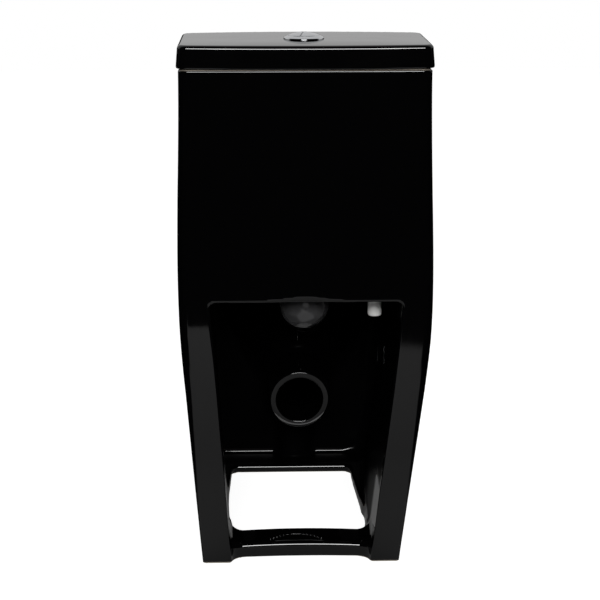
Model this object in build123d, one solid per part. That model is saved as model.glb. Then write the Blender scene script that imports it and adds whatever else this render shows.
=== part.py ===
from build123d import *
from math import exp, log, sqrt
import os

# A one-piece floor-standing toilet with a skirted pan and a horizontal waste outlet.
# Millimetres. +Z is up, +Y is the back (wall side), -Y is the front. The origin is on the floor,
# under the middle of the outer box. The china is one fired casting: it is modelled as the cast
# sections that are luted together before firing, which touch face to face.

# Overall
OVERALL_LENGTH = 680.0
RIM_HEIGHT = 415.0
BODY_WIDTH = 371.0
FOOT_WIDTH = 296.0
FOOT_SETBACK = 78.0
SIDE_KNEE_HEIGHT = 354.0
FRONT_KNEE_HEIGHT = 320.0
KNEE_SOFTNESS = 25.0
BACK_CORNER_RADIUS = 14.0
NOSE_RADIUS_RATIO = 0.66
FRONT_RADIUS_RATIO = 1.45
SKIRT_LEVELS = (0.0, 0.28, 0.55, 0.75, 0.88, 1.0)
EDGE_TOLERANCE = 0.01
EDGE_MARGIN = 1.0
HEX_SIDES = 6

# Tank and its lid
TANK_HEIGHT = 325.5
TANK_TOP_WIDTH = 357.0
TANK_DEPTH = 184.0
TANK_FRONT_BOW = 20.0
TANK_WALL = 12.0
TANK_FLOOR = 12.0
TANK_RIM_ROUND = 3.0
TANK_LEVELS = (0.0, 0.25, 0.5, 0.75, 1.0)
LID_OVERHANG = 3.0
LID_SIDE_OVERHANG = 3.0
LID_THICKNESS = 32.5
LID_DRAFT = 2.6
LID_TOP_PLATE = 12.0
LID_EDGE_ROUND = 5.0
LID_LIP_DROP = 6.0
LID_LIP_WALL = 8.0
LID_LIP_CLEARANCE = 2.5
LID_PAD_HEIGHT = 2.0
LID_PAD_RADIUS = 4.0
LID_PAD_INSET_Y = 45.0

# Rear service opening, floor rail and ledge
OPENING_TOP_WIDTH = 281.0
OPENING_FOOT_WIDTH = 220.0
OPENING_TOP_DROP = 10.0
OPENING_CORNER_RADIUS = 9.0
OPENING_EDGE_ROUND = 3.5
BACK_BAND_THICKNESS = 15.0
CEILING_STEP = 5.0
CEILING_OVERLAP = 20.0
BULKHEAD_DEPTH = 443.0
RAIL_SETBACK = 25.0
RAIL_DEPTH = 53.0
RAIL_HEIGHT = 25.0
RAIL_ROUND = 7.0
RAIL_ARCH = 3.5
LEDGE_DEPTH = 65.0
LEDGE_HEIGHT = 15.0
LEDGE_ROUND = 6.0
FLOOR_GAP_RADIUS = 34.0
FLOOR_GAP_OVERLAP = 3.0
FLOOR_FRAME_ROOT = 10.0

# Bowl
BLOCK_DEPTH = 40.0
RIM_FRONT_SETBACK = 15.0
RIM_EDGE_ROUND = 9.0
BASIN_WALL = 12.0
BASIN_HALF_WIDTH = 140.0
BASIN_HALF_LENGTH = 155.0
BASIN_CENTRE_Y = -136.0
BASIN_SHIFT_Y = -20.0
BASIN_FLOOR_HEIGHT = 112.0
BASIN_PROFILE = ((1.0, 1.0), (0.75, 0.94), (0.47, 0.72), (0.2, 0.48), (0.0, 0.28))

# Trap and waste spigot
SPIGOT_RADIUS = 47.8
SPIGOT_BORE_RADIUS = 37.5
SPIGOT_HEIGHT = 180.0
SPIGOT_SETBACK = 232.0
SPIGOT_RUN = 120.0
SPIGOT_EDGE_ROUND = 3.0
TRAP_KNEE_Y = -100.0
TRAP_KNEE_HEIGHT = 97.0
TRAP_INLET_Y = -168.0
TRAP_INLET_HEIGHT = 152.0
TRAP_KNEE_RADIUS = 58.0
TRAP_CREST_RADIUS = 70.0

# Flush way from the tank to the bowl
VALVE_SETBACK = 92.0
ELBOW_RADIUS = 37.0
ELBOW_BORE_RADIUS = 27.0
ELBOW_CLEARANCE = 1.0

# Push buttons in the lid
COLLAR_RADIUS = 29.0
COLLAR_RISE = 4.5
COLLAR_ROUND = 2.0
SLEEVE_RADIUS = 24.0
SLEEVE_BORE_RADIUS = 22.5
SLEEVE_LENGTH = 32.0
SLEEVE_PLATE = 3.0
LID_HOLE_CLEARANCE = 1.0
BUTTON_CLEARANCE = 0.5
BUTTON_SPLIT = 0.8
BUTTON_THICKNESS = 8.0
BUTTON_DOME = 1.6
BUTTON_STEM_RADIUS = 4.0
BUTTON_STEM_LENGTH = 30.0
BUTTON_STEM_OFFSET = 11.0
STEM_CLEARANCE = 0.4
BUTTON_NUT_RADIUS = 31.0
BUTTON_NUT_HEIGHT = 9.0
BUTTON_NUT_SIDES = 8
SPRING_WIRE = 1.2
SPRING_RADIUS = 6.0
SPRING_TURNS = 4
ROD_RADIUS = 2.5
ROD_SOCKET_DEPTH = 10.0

# Flush valve
VALVE_TAIL_RADIUS = 25.0
VALVE_BORE_RADIUS = 21.0
VALVE_TAIL_LENGTH = 12.0
VALVE_FLANGE_RADIUS = 44.0
VALVE_FLANGE_THICKNESS = 5.0
VALVE_SEAT_HEIGHT = 4.0
VALVE_EAR_OFFSET = 56.0
VALVE_EAR_RADIUS = 9.0
GASKET_THICKNESS = 4.0
GASKET_RADIUS = 42.0
VALVE_BOLT_RADIUS = 3.0
VALVE_BOLT_CLEARANCE = 1.0
BOLT_HEAD_HEIGHT = 4.0
BOLT_HEAD_RADIUS = 6.0
BOLT_NUT_HEIGHT = 6.0
BOLT_NUT_RADIUS = 8.0
BOLT_END = 3.0
SEAL_RADIUS = 29.0
SEAL_THICKNESS = 3.0
SEAL_GAP = 0.3
TUBE_RADIUS = 13.0
TUBE_WALL = 2.0
TUBE_COLLAR_RADIUS = 17.0
TUBE_COLLAR_HEIGHT = 3.0
TUBE_PLATE_RADIUS = 30.0
TUBE_PLATE_HEIGHT = 4.0
TUBE_TOP_DROP = 90.0
TOWER_TOP_DROP = 54.0
TOWER_POST_RADIUS = 4.0
TOWER_POST_OFFSET = 38.0
TOWER_BAR_HEIGHT = 12.0
TOWER_BAR_LENGTH = 84.0
TOWER_BAR_THICKNESS = 6.0
TOWER_SLOT = 26.0
TOWER_WEB = 8.0
TOWER_RING_WALL = 5.0
TOWER_RING_HEIGHT = 10.0
TOWER_RING_DROP = 150.0
GUIDE_CLEARANCE = 0.5
FLOAT_SEAT_GAP = 0.3
HALF_FLOAT_RADIUS = 27.0
HALF_FLOAT_HEIGHT = 50.0

# Rocker levers on the tower
LEVER_PIVOT_OFFSET = 30.0
LEVER_PIN_RADIUS = 2.0
PIN_CLEARANCE = 0.05
LEVER_HUB_RADIUS = 5.5
LEVER_SIDE_CLEARANCE = 0.6
LEVER_WIDTH = 10.0
LEVER_THICKNESS = 5.0
LEVER_TIP_OFFSET = 60.0
LEVER_PAD_OFFSET = 6.0
ROD_PLAY = 1.0
HOOK_GAP = 0.5
HOOK_THICKNESS = 6.0
HOOK_REACH = 9.0
HOOK_OUTSIDE = 4.0

# Fill valve
FILL_WALL_ROOM = 59.5
TAIL_RADIUS = 10.45
TAIL_NECK_RADIUS = 9.0
TAIL_NECK_DROP = 2.0
TAIL_DROP = 54.0
TAIL_BORE_RADIUS = 5.0
TAIL_END_ROUND = 3.0
TAIL_HOLE_CLEARANCE = 1.0
FILL_FLANGE_RADIUS = 17.0
FILL_FLANGE_THICKNESS = 5.0
INLET_WASHER_THICKNESS = 3.0
INLET_NUT_HEIGHT = 12.0
INLET_NUT_RADIUS = 17.0
NUT_CLEARANCE = 0.1
COLUMN_RADIUS = 11.0
HEAD_RADIUS = 19.0
HEAD_HEIGHT = 34.0
HEAD_TOP_DROP = 30.0
HEAD_ROUND = 4.0
FLOAT_RADIUS = 29.0
FLOAT_HEIGHT = 62.0
FLOAT_CLEARANCE = 0.4
FLOAT_TRAVEL = 20.0
FLOAT_STOP_RADIUS = 15.0
FLOAT_STOP_HEIGHT = 4.0
FLOAT_LUG_RADIUS = 6.0
FLOAT_LUG_HEIGHT = 6.0
FLOAT_HEAD_GAP = 8.0
LINK_RADIUS = 1.5
LINK_OFFSET = 36.0
LINK_STOP_RADIUS = 4.0
LINK_STOP_HEIGHT = 2.0
LINK_STOP_GAP = 3.2
FLOAT_LEVER_WIDTH = 9.0
FLOAT_LEVER_THICKNESS = 3.0
FLOAT_LEVER_SLOT = 18.0
FLOAT_LEVER_SLOT_WIDTH = 5.0
FLOAT_LEVER_END = 5.0
HEAD_LUG_THICKNESS = 4.0
HEAD_LUG_RADIUS = 5.0
HEAD_LUG_RISE = 8.0
FLOAT_PIN_RADIUS = 1.5

# Seat, cover and hinges
HINGE_SPREAD = 156.0
HINGE_TANK_GAP = 81.0
HINGE_AXIS_RISE = 22.0
HINGE_PIN_RADIUS = 4.0
HINGE_PIN_LENGTH = 56.0
HINGE_POST_WIDTH = 16.0
HINGE_POST_RADIUS = 9.0
HINGE_SIDE_CLEARANCE = 0.4
KNUCKLE_WIDTH = 17.0
KNUCKLE_RADIUS = 8.5
KNUCKLE_ARM = 10.0
ROSETTE_RADIUS = 24.0
ROSETTE_HEIGHT = 5.0
ROSETTE_ROUND = 2.0
STUD_RADIUS = 3.0
STUD_HOLE_CLEARANCE = 3.0
HINGE_NUT_RADIUS = 10.0
HINGE_NUT_HEIGHT = 8.0
STUD_END = 4.0
BUMPER_HEIGHT = 8.0
BUMPER_RADIUS = 9.0
BUMPER_GAP = 0.3
BUMPER_BACK_SHARE = 0.5
BUMPER_FRONT_SHARE = -0.33
SEAT_THICKNESS = 18.0
SEAT_WIDTH = 366.0
SEAT_FRONT_SETBACK = 3.0
SEAT_HINGE_GAP = 22.0
SEAT_HOLE_WIDTH = 226.0
SEAT_HOLE_LENGTH = 270.0
SEAT_HOLE_CENTRE_Y = -140.0
SEAT_ROUND = 6.0
COVER_WIDTH = 368.0
COVER_GAP = 3.0
COVER_THICKNESS = 18.0
COVER_ROUND = 6.0
COVER_CROWN = 5.0
COVER_RECESS = 8.0
COVER_WALL = 14.0
COVER_BUMPER_RADIUS = 6.0

# Places worked out from the sizes above
LID_BACK = OVERALL_LENGTH / 2
TANK_BACK = LID_BACK - LID_OVERHANG
TANK_FRONT = TANK_BACK - TANK_DEPTH
COVER_FRONT = -OVERALL_LENGTH / 2
RIM_FRONT = COVER_FRONT + RIM_FRONT_SETBACK
TANK_TOP = RIM_HEIGHT + TANK_HEIGHT
TANK_FLOOR_TOP = RIM_HEIGHT + TANK_FLOOR
LID_BOTTOM = TANK_TOP + LID_PAD_HEIGHT
LID_TOP = LID_BOTTOM + LID_THICKNESS
BLOCK_BOTTOM = RIM_HEIGHT - BLOCK_DEPTH
OPENING_TOP = RIM_HEIGHT - OPENING_TOP_DROP
BULKHEAD = TANK_BACK - BULKHEAD_DEPTH
RAIL_BACK = TANK_BACK - RAIL_SETBACK
RAIL_FRONT = RAIL_BACK - RAIL_DEPTH
SPIGOT_END = TANK_BACK - SPIGOT_SETBACK
VALVE_Y = TANK_BACK - VALVE_SETBACK
FILL_OFFSET_X = TANK_WALL + FILL_WALL_ROOM - TANK_TOP_WIDTH / 2
ELBOW_HEIGHT = RIM_HEIGHT - ELBOW_RADIUS - ELBOW_CLEARANCE
FLANGE_BOTTOM = TANK_FLOOR_TOP + GASKET_THICKNESS
FLANGE_TOP = FLANGE_BOTTOM + VALVE_FLANGE_THICKNESS
SEAT_LIP_TOP = FLANGE_TOP + VALVE_SEAT_HEIGHT
SEAL_BOTTOM = SEAT_LIP_TOP + SEAL_GAP
SEAL_TOP = SEAL_BOTTOM + SEAL_THICKNESS
TUBE_TOP = TANK_TOP - TUBE_TOP_DROP
TOWER_TOP = TANK_TOP - TOWER_TOP_DROP
PIVOT_HEIGHT = TOWER_TOP - TOWER_BAR_HEIGHT / 2
LEVER_TOP = PIVOT_HEIGHT + LEVER_HUB_RADIUS
RING_TOP = TOWER_TOP - TOWER_RING_DROP
COLLAR_TOP = LID_TOP + COLLAR_RISE
SLEEVE_BOTTOM = LID_TOP - SLEEVE_LENGTH
BUTTON_BOTTOM = COLLAR_TOP - BUTTON_THICKNESS
STEM_BOTTOM = BUTTON_BOTTOM - BUTTON_STEM_LENGTH
FILL_WASHER_TOP = TANK_FLOOR_TOP + INLET_WASHER_THICKNESS
FILL_FLANGE_TOP = FILL_WASHER_TOP + FILL_FLANGE_THICKNESS
HEAD_TOP = TANK_TOP - HEAD_TOP_DROP
HEAD_BOTTOM = HEAD_TOP - HEAD_HEIGHT
FLOAT_TOP = HEAD_BOTTOM - FLOAT_HEAD_GAP - FLOAT_TRAVEL
FLOAT_BOTTOM = FLOAT_TOP - FLOAT_HEIGHT
FLOAT_LEVER_HEIGHT = HEAD_TOP + HEAD_LUG_RISE
HINGE_AXIS = RIM_HEIGHT + HINGE_AXIS_RISE
HINGE_SETBACK_Y = TANK_FRONT - HINGE_TANK_GAP
SEAT_BACK_Y = HINGE_SETBACK_Y - SEAT_HINGE_GAP
SEAT_BOTTOM = RIM_HEIGHT + BUMPER_HEIGHT
SEAT_TOP = SEAT_BOTTOM + SEAT_THICKNESS
COVER_BOTTOM = SEAT_TOP + COVER_GAP
COVER_TOP = COVER_BOTTOM + COVER_THICKNESS


# Small helpers
def block(x0, x1, y0, y1, z0, z1):
    """A box between two corners."""
    return Pos((x0 + x1) / 2, (y0 + y1) / 2, (z0 + z1) / 2) * Box(x1 - x0, y1 - y0, z1 - z0)


def post(radius, z0, z1, x=0.0, y=0.0):
    """A round bar standing up between two heights."""
    return Pos(x, y, (z0 + z1) / 2) * Cylinder(radius, z1 - z0)


def ring(outer, inner, z0, z1, x=0.0, y=0.0):
    """A tube standing up between two heights."""
    return post(outer, z0, z1, x, y) - post(inner, z0, z1, x, y)


def bar_x(radius, x0, x1, y, z):
    """A round bar along X."""
    return Pos((x0 + x1) / 2, y, z) * Rot(0, 90, 0) * Cylinder(radius, x1 - x0)


def bar_y(radius, y0, y1, x, z):
    """A round bar along Y."""
    return Pos(x, (y0 + y1) / 2, z) * Rot(90, 0, 0) * Cylinder(radius, y1 - y0)


def edges_at(shape, axis, place):
    """The edges that lie in the plane at one place along an axis."""
    return shape.edges().filter_by_position(axis, place - EDGE_TOLERANCE, place + EDGE_TOLERANCE)


def group(shapes):
    """Separate solids kept together as one node."""
    solids = []
    for shape in shapes:
        solids.extend(shape.solids())
    return Compound(solids)


def softplus(value, softness):
    """A ramp with a rounded knee."""
    return softness * log(1 + exp(value / softness))


def ramp(z, knee):
    """1 on the floor, falling in a straight line to a soft knee, and 0 above it."""
    return softplus(knee - z, KNEE_SOFTNESS) / softplus(knee, KNEE_SOFTNESS)


# Outlines in plan
def nose_arcs(half, front, nose, broad):
    """The rounded front of a plan outline: corner arc, broad front arc, corner arc."""
    centre_y = front + broad - sqrt((broad - nose) ** 2 - (half - nose) ** 2)
    reach = broad / (broad - nose)
    front_centre = front + broad
    touch_x = (half - nose) * reach
    touch_y = front_centre + (centre_y - front_centre) * reach
    lean_x = 1 + (touch_x - (half - nose)) / nose
    lean_y = (touch_y - centre_y) / nose
    lean = sqrt(lean_x ** 2 + lean_y ** 2)
    mid_x = half - nose + nose * lean_x / lean
    mid_y = centre_y + nose * lean_y / lean
    right = ThreePointArc((half, centre_y), (mid_x, mid_y), (touch_x, touch_y))
    middle = ThreePointArc((touch_x, touch_y), (0, front), (-touch_x, touch_y))
    left = ThreePointArc((-touch_x, touch_y), (-mid_x, mid_y), (-half, centre_y))
    return centre_y, right, middle, left


def d_outline(half, back, front, corner):
    """A D-shaped plan outline: flat back with round corners, straight sides, rounded front."""
    nose = half * NOSE_RADIUS_RATIO
    broad = half * FRONT_RADIUS_RATIO
    side_end, right, middle, left = nose_arcs(half, front, nose, broad)
    bend = corner * (1 - sqrt(0.5))
    edges = Line((-half + corner, back), (half - corner, back))
    edges += ThreePointArc((half - corner, back), (half - bend, back - bend), (half, back - corner))
    edges += Line((half, back - corner), (half, side_end))
    edges += [right, middle, left]
    edges += Line((-half, side_end), (-half, back - corner))
    edges += ThreePointArc((-half, back - corner), (-half + bend, back - bend), (-half + corner, back))
    return make_face(edges)


def tank_outline(width, back, front, bow, corner):
    """A tank's plan outline: flat back, straight sides and a bowed front, with round corners."""
    half = width / 2
    edges = Line((-half, back), (half, back))
    edges += Line((half, back), (half, front))
    edges += ThreePointArc((half, front), (0, front - bow), (-half, front))
    edges += Line((-half, front), (-half, back))
    face = make_face(edges)
    return fillet(face.vertices(), corner)


# China sections
def skirt_half_width(z):
    """Half the width of the pan at a height: splayed legs that turn upright under the tank."""
    return BODY_WIDTH / 2 - (BODY_WIDTH - FOOT_WIDTH) / 2 * ramp(z, SIDE_KNEE_HEIGHT)


def skirt_solid():
    """The whole outside of the pan, from the floor to the rim."""
    sections = []
    for level in SKIRT_LEVELS:
        z = RIM_HEIGHT * level
        front = RIM_FRONT + FOOT_SETBACK * ramp(z, FRONT_KNEE_HEIGHT)
        sections.append(Pos(0, 0, z) * d_outline(skirt_half_width(z), TANK_BACK, front, BACK_CORNER_RADIUS))
    return loft(sections)


def basin_solid(wall):
    """The space of the basin, or with a wall its outer skin."""
    depth = RIM_HEIGHT - BASIN_FLOOR_HEIGHT
    sections = []
    for level, share in BASIN_PROFILE:
        z = BASIN_FLOOR_HEIGHT + depth * level - wall * (1 - level)
        centre = BASIN_CENTRE_Y + BASIN_SHIFT_Y * (1 - level)
        oval = Ellipse(BASIN_HALF_WIDTH * share + wall, BASIN_HALF_LENGTH * share + wall)
        sections.append(Pos(0, centre, z) * oval)
    return loft(sections)


def trap_sweep(radius):
    """A round pipe from the basin's floor, down round the trap's knee and out to the waste spigot."""
    path = FilletPolyline(
        (0, TRAP_INLET_Y, TRAP_INLET_HEIGHT),
        (0, TRAP_KNEE_Y, TRAP_KNEE_HEIGHT),
        (0, SPIGOT_END - SPIGOT_RUN, SPIGOT_HEIGHT),
        (0, SPIGOT_END, SPIGOT_HEIGHT),
        radius=[TRAP_KNEE_RADIUS, TRAP_CREST_RADIUS],
    )
    return sweep(path.location_at(0) * Circle(radius), path=path)


def opening_prism():
    """The rear service opening: a tapered gate with round top corners, run forward to the bulkhead."""
    top = OPENING_TOP_WIDTH / 2
    foot = OPENING_FOOT_WIDTH / 2
    gate = make_face(Polyline((-foot, 0), (foot, 0), (top, OPENING_TOP), (-top, OPENING_TOP), close=True))
    corners = gate.vertices().sort_by(Axis.Y)[-2:]
    gate = fillet(corners, OPENING_CORNER_RADIUS)
    return extrude(Plane.XZ.offset(-TANK_BACK) * gate, TANK_BACK - BULKHEAD)


def floor_frame():
    """The rail across the feet and the ledge at the bulkhead, with a round-cornered gap between."""
    half = OPENING_FOOT_WIDTH / 2
    root = half + FLOOR_FRAME_ROOT
    ledge_front = BULKHEAD + LEDGE_DEPTH
    plate = block(-root, root, BULKHEAD - FLOOR_FRAME_ROOT, RAIL_BACK, 0, LEDGE_HEIGHT)
    gap_length = RAIL_FRONT - ledge_front
    gap = RectangleRounded(2 * (half + FLOOR_GAP_OVERLAP), gap_length, FLOOR_GAP_RADIUS)
    plate -= extrude(Pos(0, ledge_front + gap_length / 2, 0) * gap, LEDGE_HEIGHT)
    near_edges = plate.edges().filter_by(Axis.X).group_by(Axis.Z)[-1].sort_by(Axis.Y)
    plate = fillet(near_edges[1], LEDGE_ROUND)
    bar = block(-root, root, RAIL_FRONT, RAIL_BACK, 0, RAIL_HEIGHT)
    bar = fillet(bar.edges().filter_by(Axis.X).group_by(Axis.Z)[-1], RAIL_ROUND)
    bridge = ThreePointArc((-half, 0), (0, RAIL_ARCH), (half, 0))
    arch = make_face(bridge + Line((half, 0), (-half, 0)))
    frame = plate + bar
    return frame - extrude(Plane.XZ.offset(-TANK_BACK) * arch, TANK_BACK - RAIL_FRONT)


def pedestal():
    """Skirt, rear legs, bulkhead, floor rail and ledge, with a pocket for the basin."""
    solid = skirt_solid()
    opening = opening_prism()
    solid -= opening
    gate_half = OPENING_TOP_WIDTH / 2 + EDGE_MARGIN
    back_edges = edges_at(solid, Axis.Y, TANK_BACK)
    gate_edges = [edge for edge in back_edges if abs(edge.center().X) < gate_half]
    gate_edges = [edge for edge in gate_edges if EDGE_MARGIN < edge.center().Z < RIM_HEIGHT - EDGE_MARGIN]
    solid = fillet(gate_edges, OPENING_EDGE_ROUND)
    solid -= block(-BODY_WIDTH, BODY_WIDTH, -OVERALL_LENGTH, TANK_FRONT, BLOCK_BOTTOM, 2 * RIM_HEIGHT)
    ceiling = OPENING_TOP_WIDTH / 2 - CEILING_STEP
    band_front = TANK_BACK - BACK_BAND_THICKNESS
    ceiling_low = OPENING_TOP - CEILING_OVERLAP
    solid -= block(-ceiling, ceiling, TANK_FRONT, band_front, ceiling_low, 2 * RIM_HEIGHT)
    solid -= basin_solid(BASIN_WALL)
    solid -= trap_sweep(SPIGOT_BORE_RADIUS)
    return solid + floor_frame()


def bowl():
    """Basin, rim and seat deck, with the flush way's mouth under the rim at the back."""
    slab = block(-BODY_WIDTH, BODY_WIDTH, -OVERALL_LENGTH, TANK_FRONT, BLOCK_BOTTOM, 2 * RIM_HEIGHT)
    solid = skirt_solid() & slab
    rim_edges = edges_at(solid, Axis.Z, RIM_HEIGHT)
    rim_edges = [edge for edge in rim_edges if edge.center().Y < TANK_FRONT - EDGE_MARGIN]
    solid = fillet(rim_edges, RIM_EDGE_ROUND)
    solid += basin_solid(BASIN_WALL)
    solid += bar_y(ELBOW_RADIUS, BASIN_CENTRE_Y, TANK_FRONT, 0, ELBOW_HEIGHT)
    solid -= basin_solid(0)
    solid -= trap_sweep(SPIGOT_BORE_RADIUS)
    solid -= bar_y(ELBOW_BORE_RADIUS, BASIN_CENTRE_Y, TANK_FRONT, 0, ELBOW_HEIGHT)
    for side in (-1, 1):
        solid -= post(
            STUD_RADIUS + STUD_HOLE_CLEARANCE, 0, 2 * RIM_HEIGHT, side * HINGE_SPREAD / 2, HINGE_SETBACK_Y
        )
    return solid


def trapway():
    """The trap's bend and the waste spigot behind the bulkhead."""
    solid = trap_sweep(SPIGOT_RADIUS) - trap_sweep(SPIGOT_BORE_RADIUS)
    solid -= block(-BODY_WIDTH, BODY_WIDTH, -OVERALL_LENGTH, BULKHEAD, 0, RIM_HEIGHT)
    solid -= basin_solid(BASIN_WALL)
    return fillet(edges_at(solid, Axis.Y, SPIGOT_END), SPIGOT_EDGE_ROUND)


def flush_elbow():
    """The domed elbow under the tank floor that turns the flush forward to the bowl."""
    solid = post(ELBOW_RADIUS, ELBOW_HEIGHT, RIM_HEIGHT, 0, VALVE_Y)
    solid += Pos(0, VALVE_Y, ELBOW_HEIGHT) * Sphere(ELBOW_RADIUS)
    solid += bar_y(ELBOW_RADIUS, TANK_FRONT, VALVE_Y, 0, ELBOW_HEIGHT)
    solid -= post(ELBOW_BORE_RADIUS, ELBOW_HEIGHT, RIM_HEIGHT, 0, VALVE_Y)
    solid -= Pos(0, VALVE_Y, ELBOW_HEIGHT) * Sphere(ELBOW_BORE_RADIUS)
    return solid - bar_y(ELBOW_BORE_RADIUS, TANK_FRONT, VALVE_Y, 0, ELBOW_HEIGHT)


def tank_loft(inset, z0):
    """The tank's outside, or with an inset its inside, from a height to the top."""
    sections = []
    for level in TANK_LEVELS:
        z = RIM_HEIGHT + TANK_HEIGHT * level
        ease = level * level * (3 - 2 * level)
        width = BODY_WIDTH + (TANK_TOP_WIDTH - BODY_WIDTH) * ease - 2 * inset
        outline = tank_outline(
            width, TANK_BACK - inset, TANK_FRONT + inset, TANK_FRONT_BOW, BACK_CORNER_RADIUS
        )
        sections.append(Pos(0, 0, z) * outline)
    solid = loft(sections)
    if z0 > RIM_HEIGHT:
        solid -= block(-BODY_WIDTH, BODY_WIDTH, -OVERALL_LENGTH, OVERALL_LENGTH, 0, z0)
    return solid


def tank_shell():
    """The tank: walls, floor, flush hole, inlet hole and two bolt holes."""
    solid = tank_loft(0, RIM_HEIGHT)
    solid = fillet(edges_at(solid, Axis.Z, TANK_TOP), TANK_RIM_ROUND)
    solid -= tank_loft(TANK_WALL, TANK_FLOOR_TOP)
    solid -= post(ELBOW_BORE_RADIUS, 0, TANK_FLOOR_TOP, 0, VALVE_Y)
    solid -= post(TAIL_RADIUS + TAIL_HOLE_CLEARANCE, 0, TANK_FLOOR_TOP, FILL_OFFSET_X, VALVE_Y)
    for side in (-1, 1):
        hole = VALVE_BOLT_RADIUS + VALVE_BOLT_CLEARANCE
        solid -= post(hole, 0, TANK_FLOOR_TOP, side * VALVE_EAR_OFFSET, VALVE_Y)
    return solid


def lid_outline(inset):
    """The lid's plan outline at its lower edge, drawn in by an inset."""
    width = TANK_TOP_WIDTH + 2 * LID_SIDE_OVERHANG - 2 * inset
    front = TANK_FRONT - LID_OVERHANG + inset
    return tank_outline(width, LID_BACK - inset, front, TANK_FRONT_BOW, BACK_CORNER_RADIUS)


def tank_lid():
    """The loose china lid: drafted sides, hollow underside, locating lip and the button hole."""
    lower = Pos(0, 0, LID_BOTTOM) * lid_outline(0)
    upper = Pos(0, 0, LID_TOP) * lid_outline(LID_DRAFT)
    solid = loft([lower, upper], ruled=True)
    solid = fillet(edges_at(solid, Axis.Z, LID_TOP), LID_EDGE_ROUND)
    lip = LID_SIDE_OVERHANG + TANK_WALL + LID_LIP_CLEARANCE
    lip_bottom = LID_BOTTOM - LID_LIP_DROP
    solid += extrude(Pos(0, 0, lip_bottom) * lid_outline(lip), LID_LIP_DROP)
    hollow_height = LID_TOP - LID_TOP_PLATE - lip_bottom
    solid -= extrude(Pos(0, 0, lip_bottom) * lid_outline(lip + LID_LIP_WALL), hollow_height)
    return solid - post(SLEEVE_RADIUS + LID_HOLE_CLEARANCE, 0, 2 * LID_TOP, 0, VALVE_Y)


def lid_pads():
    """Soft pads that keep the lid off the tank's rim."""
    pads = []
    across = TANK_TOP_WIDTH / 2 - TANK_WALL / 2
    for side in (-1, 1):
        for y in (TANK_FRONT + LID_PAD_INSET_Y, TANK_BACK - LID_PAD_INSET_Y):
            pads.append(post(LID_PAD_RADIUS, TANK_TOP, LID_BOTTOM, side * across, y))
    return group(pads)


# Push buttons
def button_collar():
    """The collar: a flange on the lid, a sleeve through it and a guide plate for the two stems."""
    flange = post(COLLAR_RADIUS, LID_TOP, COLLAR_TOP, 0, VALVE_Y)
    flange = fillet(flange.edges().group_by(Axis.Z)[-1], COLLAR_ROUND)
    solid = flange + post(SLEEVE_RADIUS, SLEEVE_BOTTOM, LID_TOP, 0, VALVE_Y)
    solid -= post(SLEEVE_BORE_RADIUS, SLEEVE_BOTTOM + SLEEVE_PLATE, COLLAR_TOP, 0, VALVE_Y)
    for side in (-1, 1):
        hole = BUTTON_STEM_RADIUS + STEM_CLEARANCE
        solid -= post(hole, 0, COLLAR_TOP, side * BUTTON_STEM_OFFSET, VALVE_Y)
    return solid


def button_nut():
    """The flat nut that clamps the collar under the lid."""
    top = LID_TOP - LID_TOP_PLATE
    wing = Pos(0, VALVE_Y, top - BUTTON_NUT_HEIGHT) * RegularPolygon(BUTTON_NUT_RADIUS, BUTTON_NUT_SIDES)
    return extrude(wing, BUTTON_NUT_HEIGHT) - post(SLEEVE_RADIUS + NUT_CLEARANCE, 0, LID_TOP, 0, VALVE_Y)


def flush_button(side):
    """Half of a domed round button with its stem, on one side of the split."""
    radius = SLEEVE_BORE_RADIUS - BUTTON_CLEARANCE
    dome_radius = (radius ** 2 + BUTTON_DOME ** 2) / (2 * BUTTON_DOME)
    disc = post(radius, BUTTON_BOTTOM, COLLAR_TOP + BUTTON_DOME, 0, VALVE_Y)
    disc &= Pos(0, VALVE_Y, COLLAR_TOP + BUTTON_DOME - dome_radius) * Sphere(dome_radius)
    near = side * BUTTON_SPLIT / 2
    far = side * 2 * radius
    disc &= block(min(near, far), max(near, far), VALVE_Y - radius, VALVE_Y + radius, 0, 2 * LID_TOP)
    offset = side * BUTTON_STEM_OFFSET
    solid = disc + post(BUTTON_STEM_RADIUS, STEM_BOTTOM, BUTTON_BOTTOM, offset, VALVE_Y)
    return solid - post(ROD_RADIUS, STEM_BOTTOM, STEM_BOTTOM + ROD_SOCKET_DEPTH, offset, VALVE_Y)


def push_rod(side):
    """The rod screwed into a button's stem, with a round foot above its lever."""
    foot = LEVER_TOP + ROD_PLAY
    offset = side * BUTTON_STEM_OFFSET
    rod = post(ROD_RADIUS, foot + ROD_RADIUS, STEM_BOTTOM + ROD_SOCKET_DEPTH, offset, VALVE_Y)
    return rod + Pos(offset, VALVE_Y, foot + ROD_RADIUS) * Sphere(ROD_RADIUS)


def button_spring(side):
    """The coil spring round a stem, between the collar's guide plate and the button."""
    base = SLEEVE_BOTTOM + SLEEVE_PLATE + SPRING_WIRE / 2
    height = BUTTON_BOTTOM - SLEEVE_BOTTOM - SLEEVE_PLATE - SPRING_WIRE
    coil = Helix(height / SPRING_TURNS, height, SPRING_RADIUS)
    wire = sweep(coil.location_at(0) * Circle(SPRING_WIRE / 2), path=coil, is_frenet=True)
    return Pos(side * BUTTON_STEM_OFFSET, VALVE_Y, base) * wire


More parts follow.
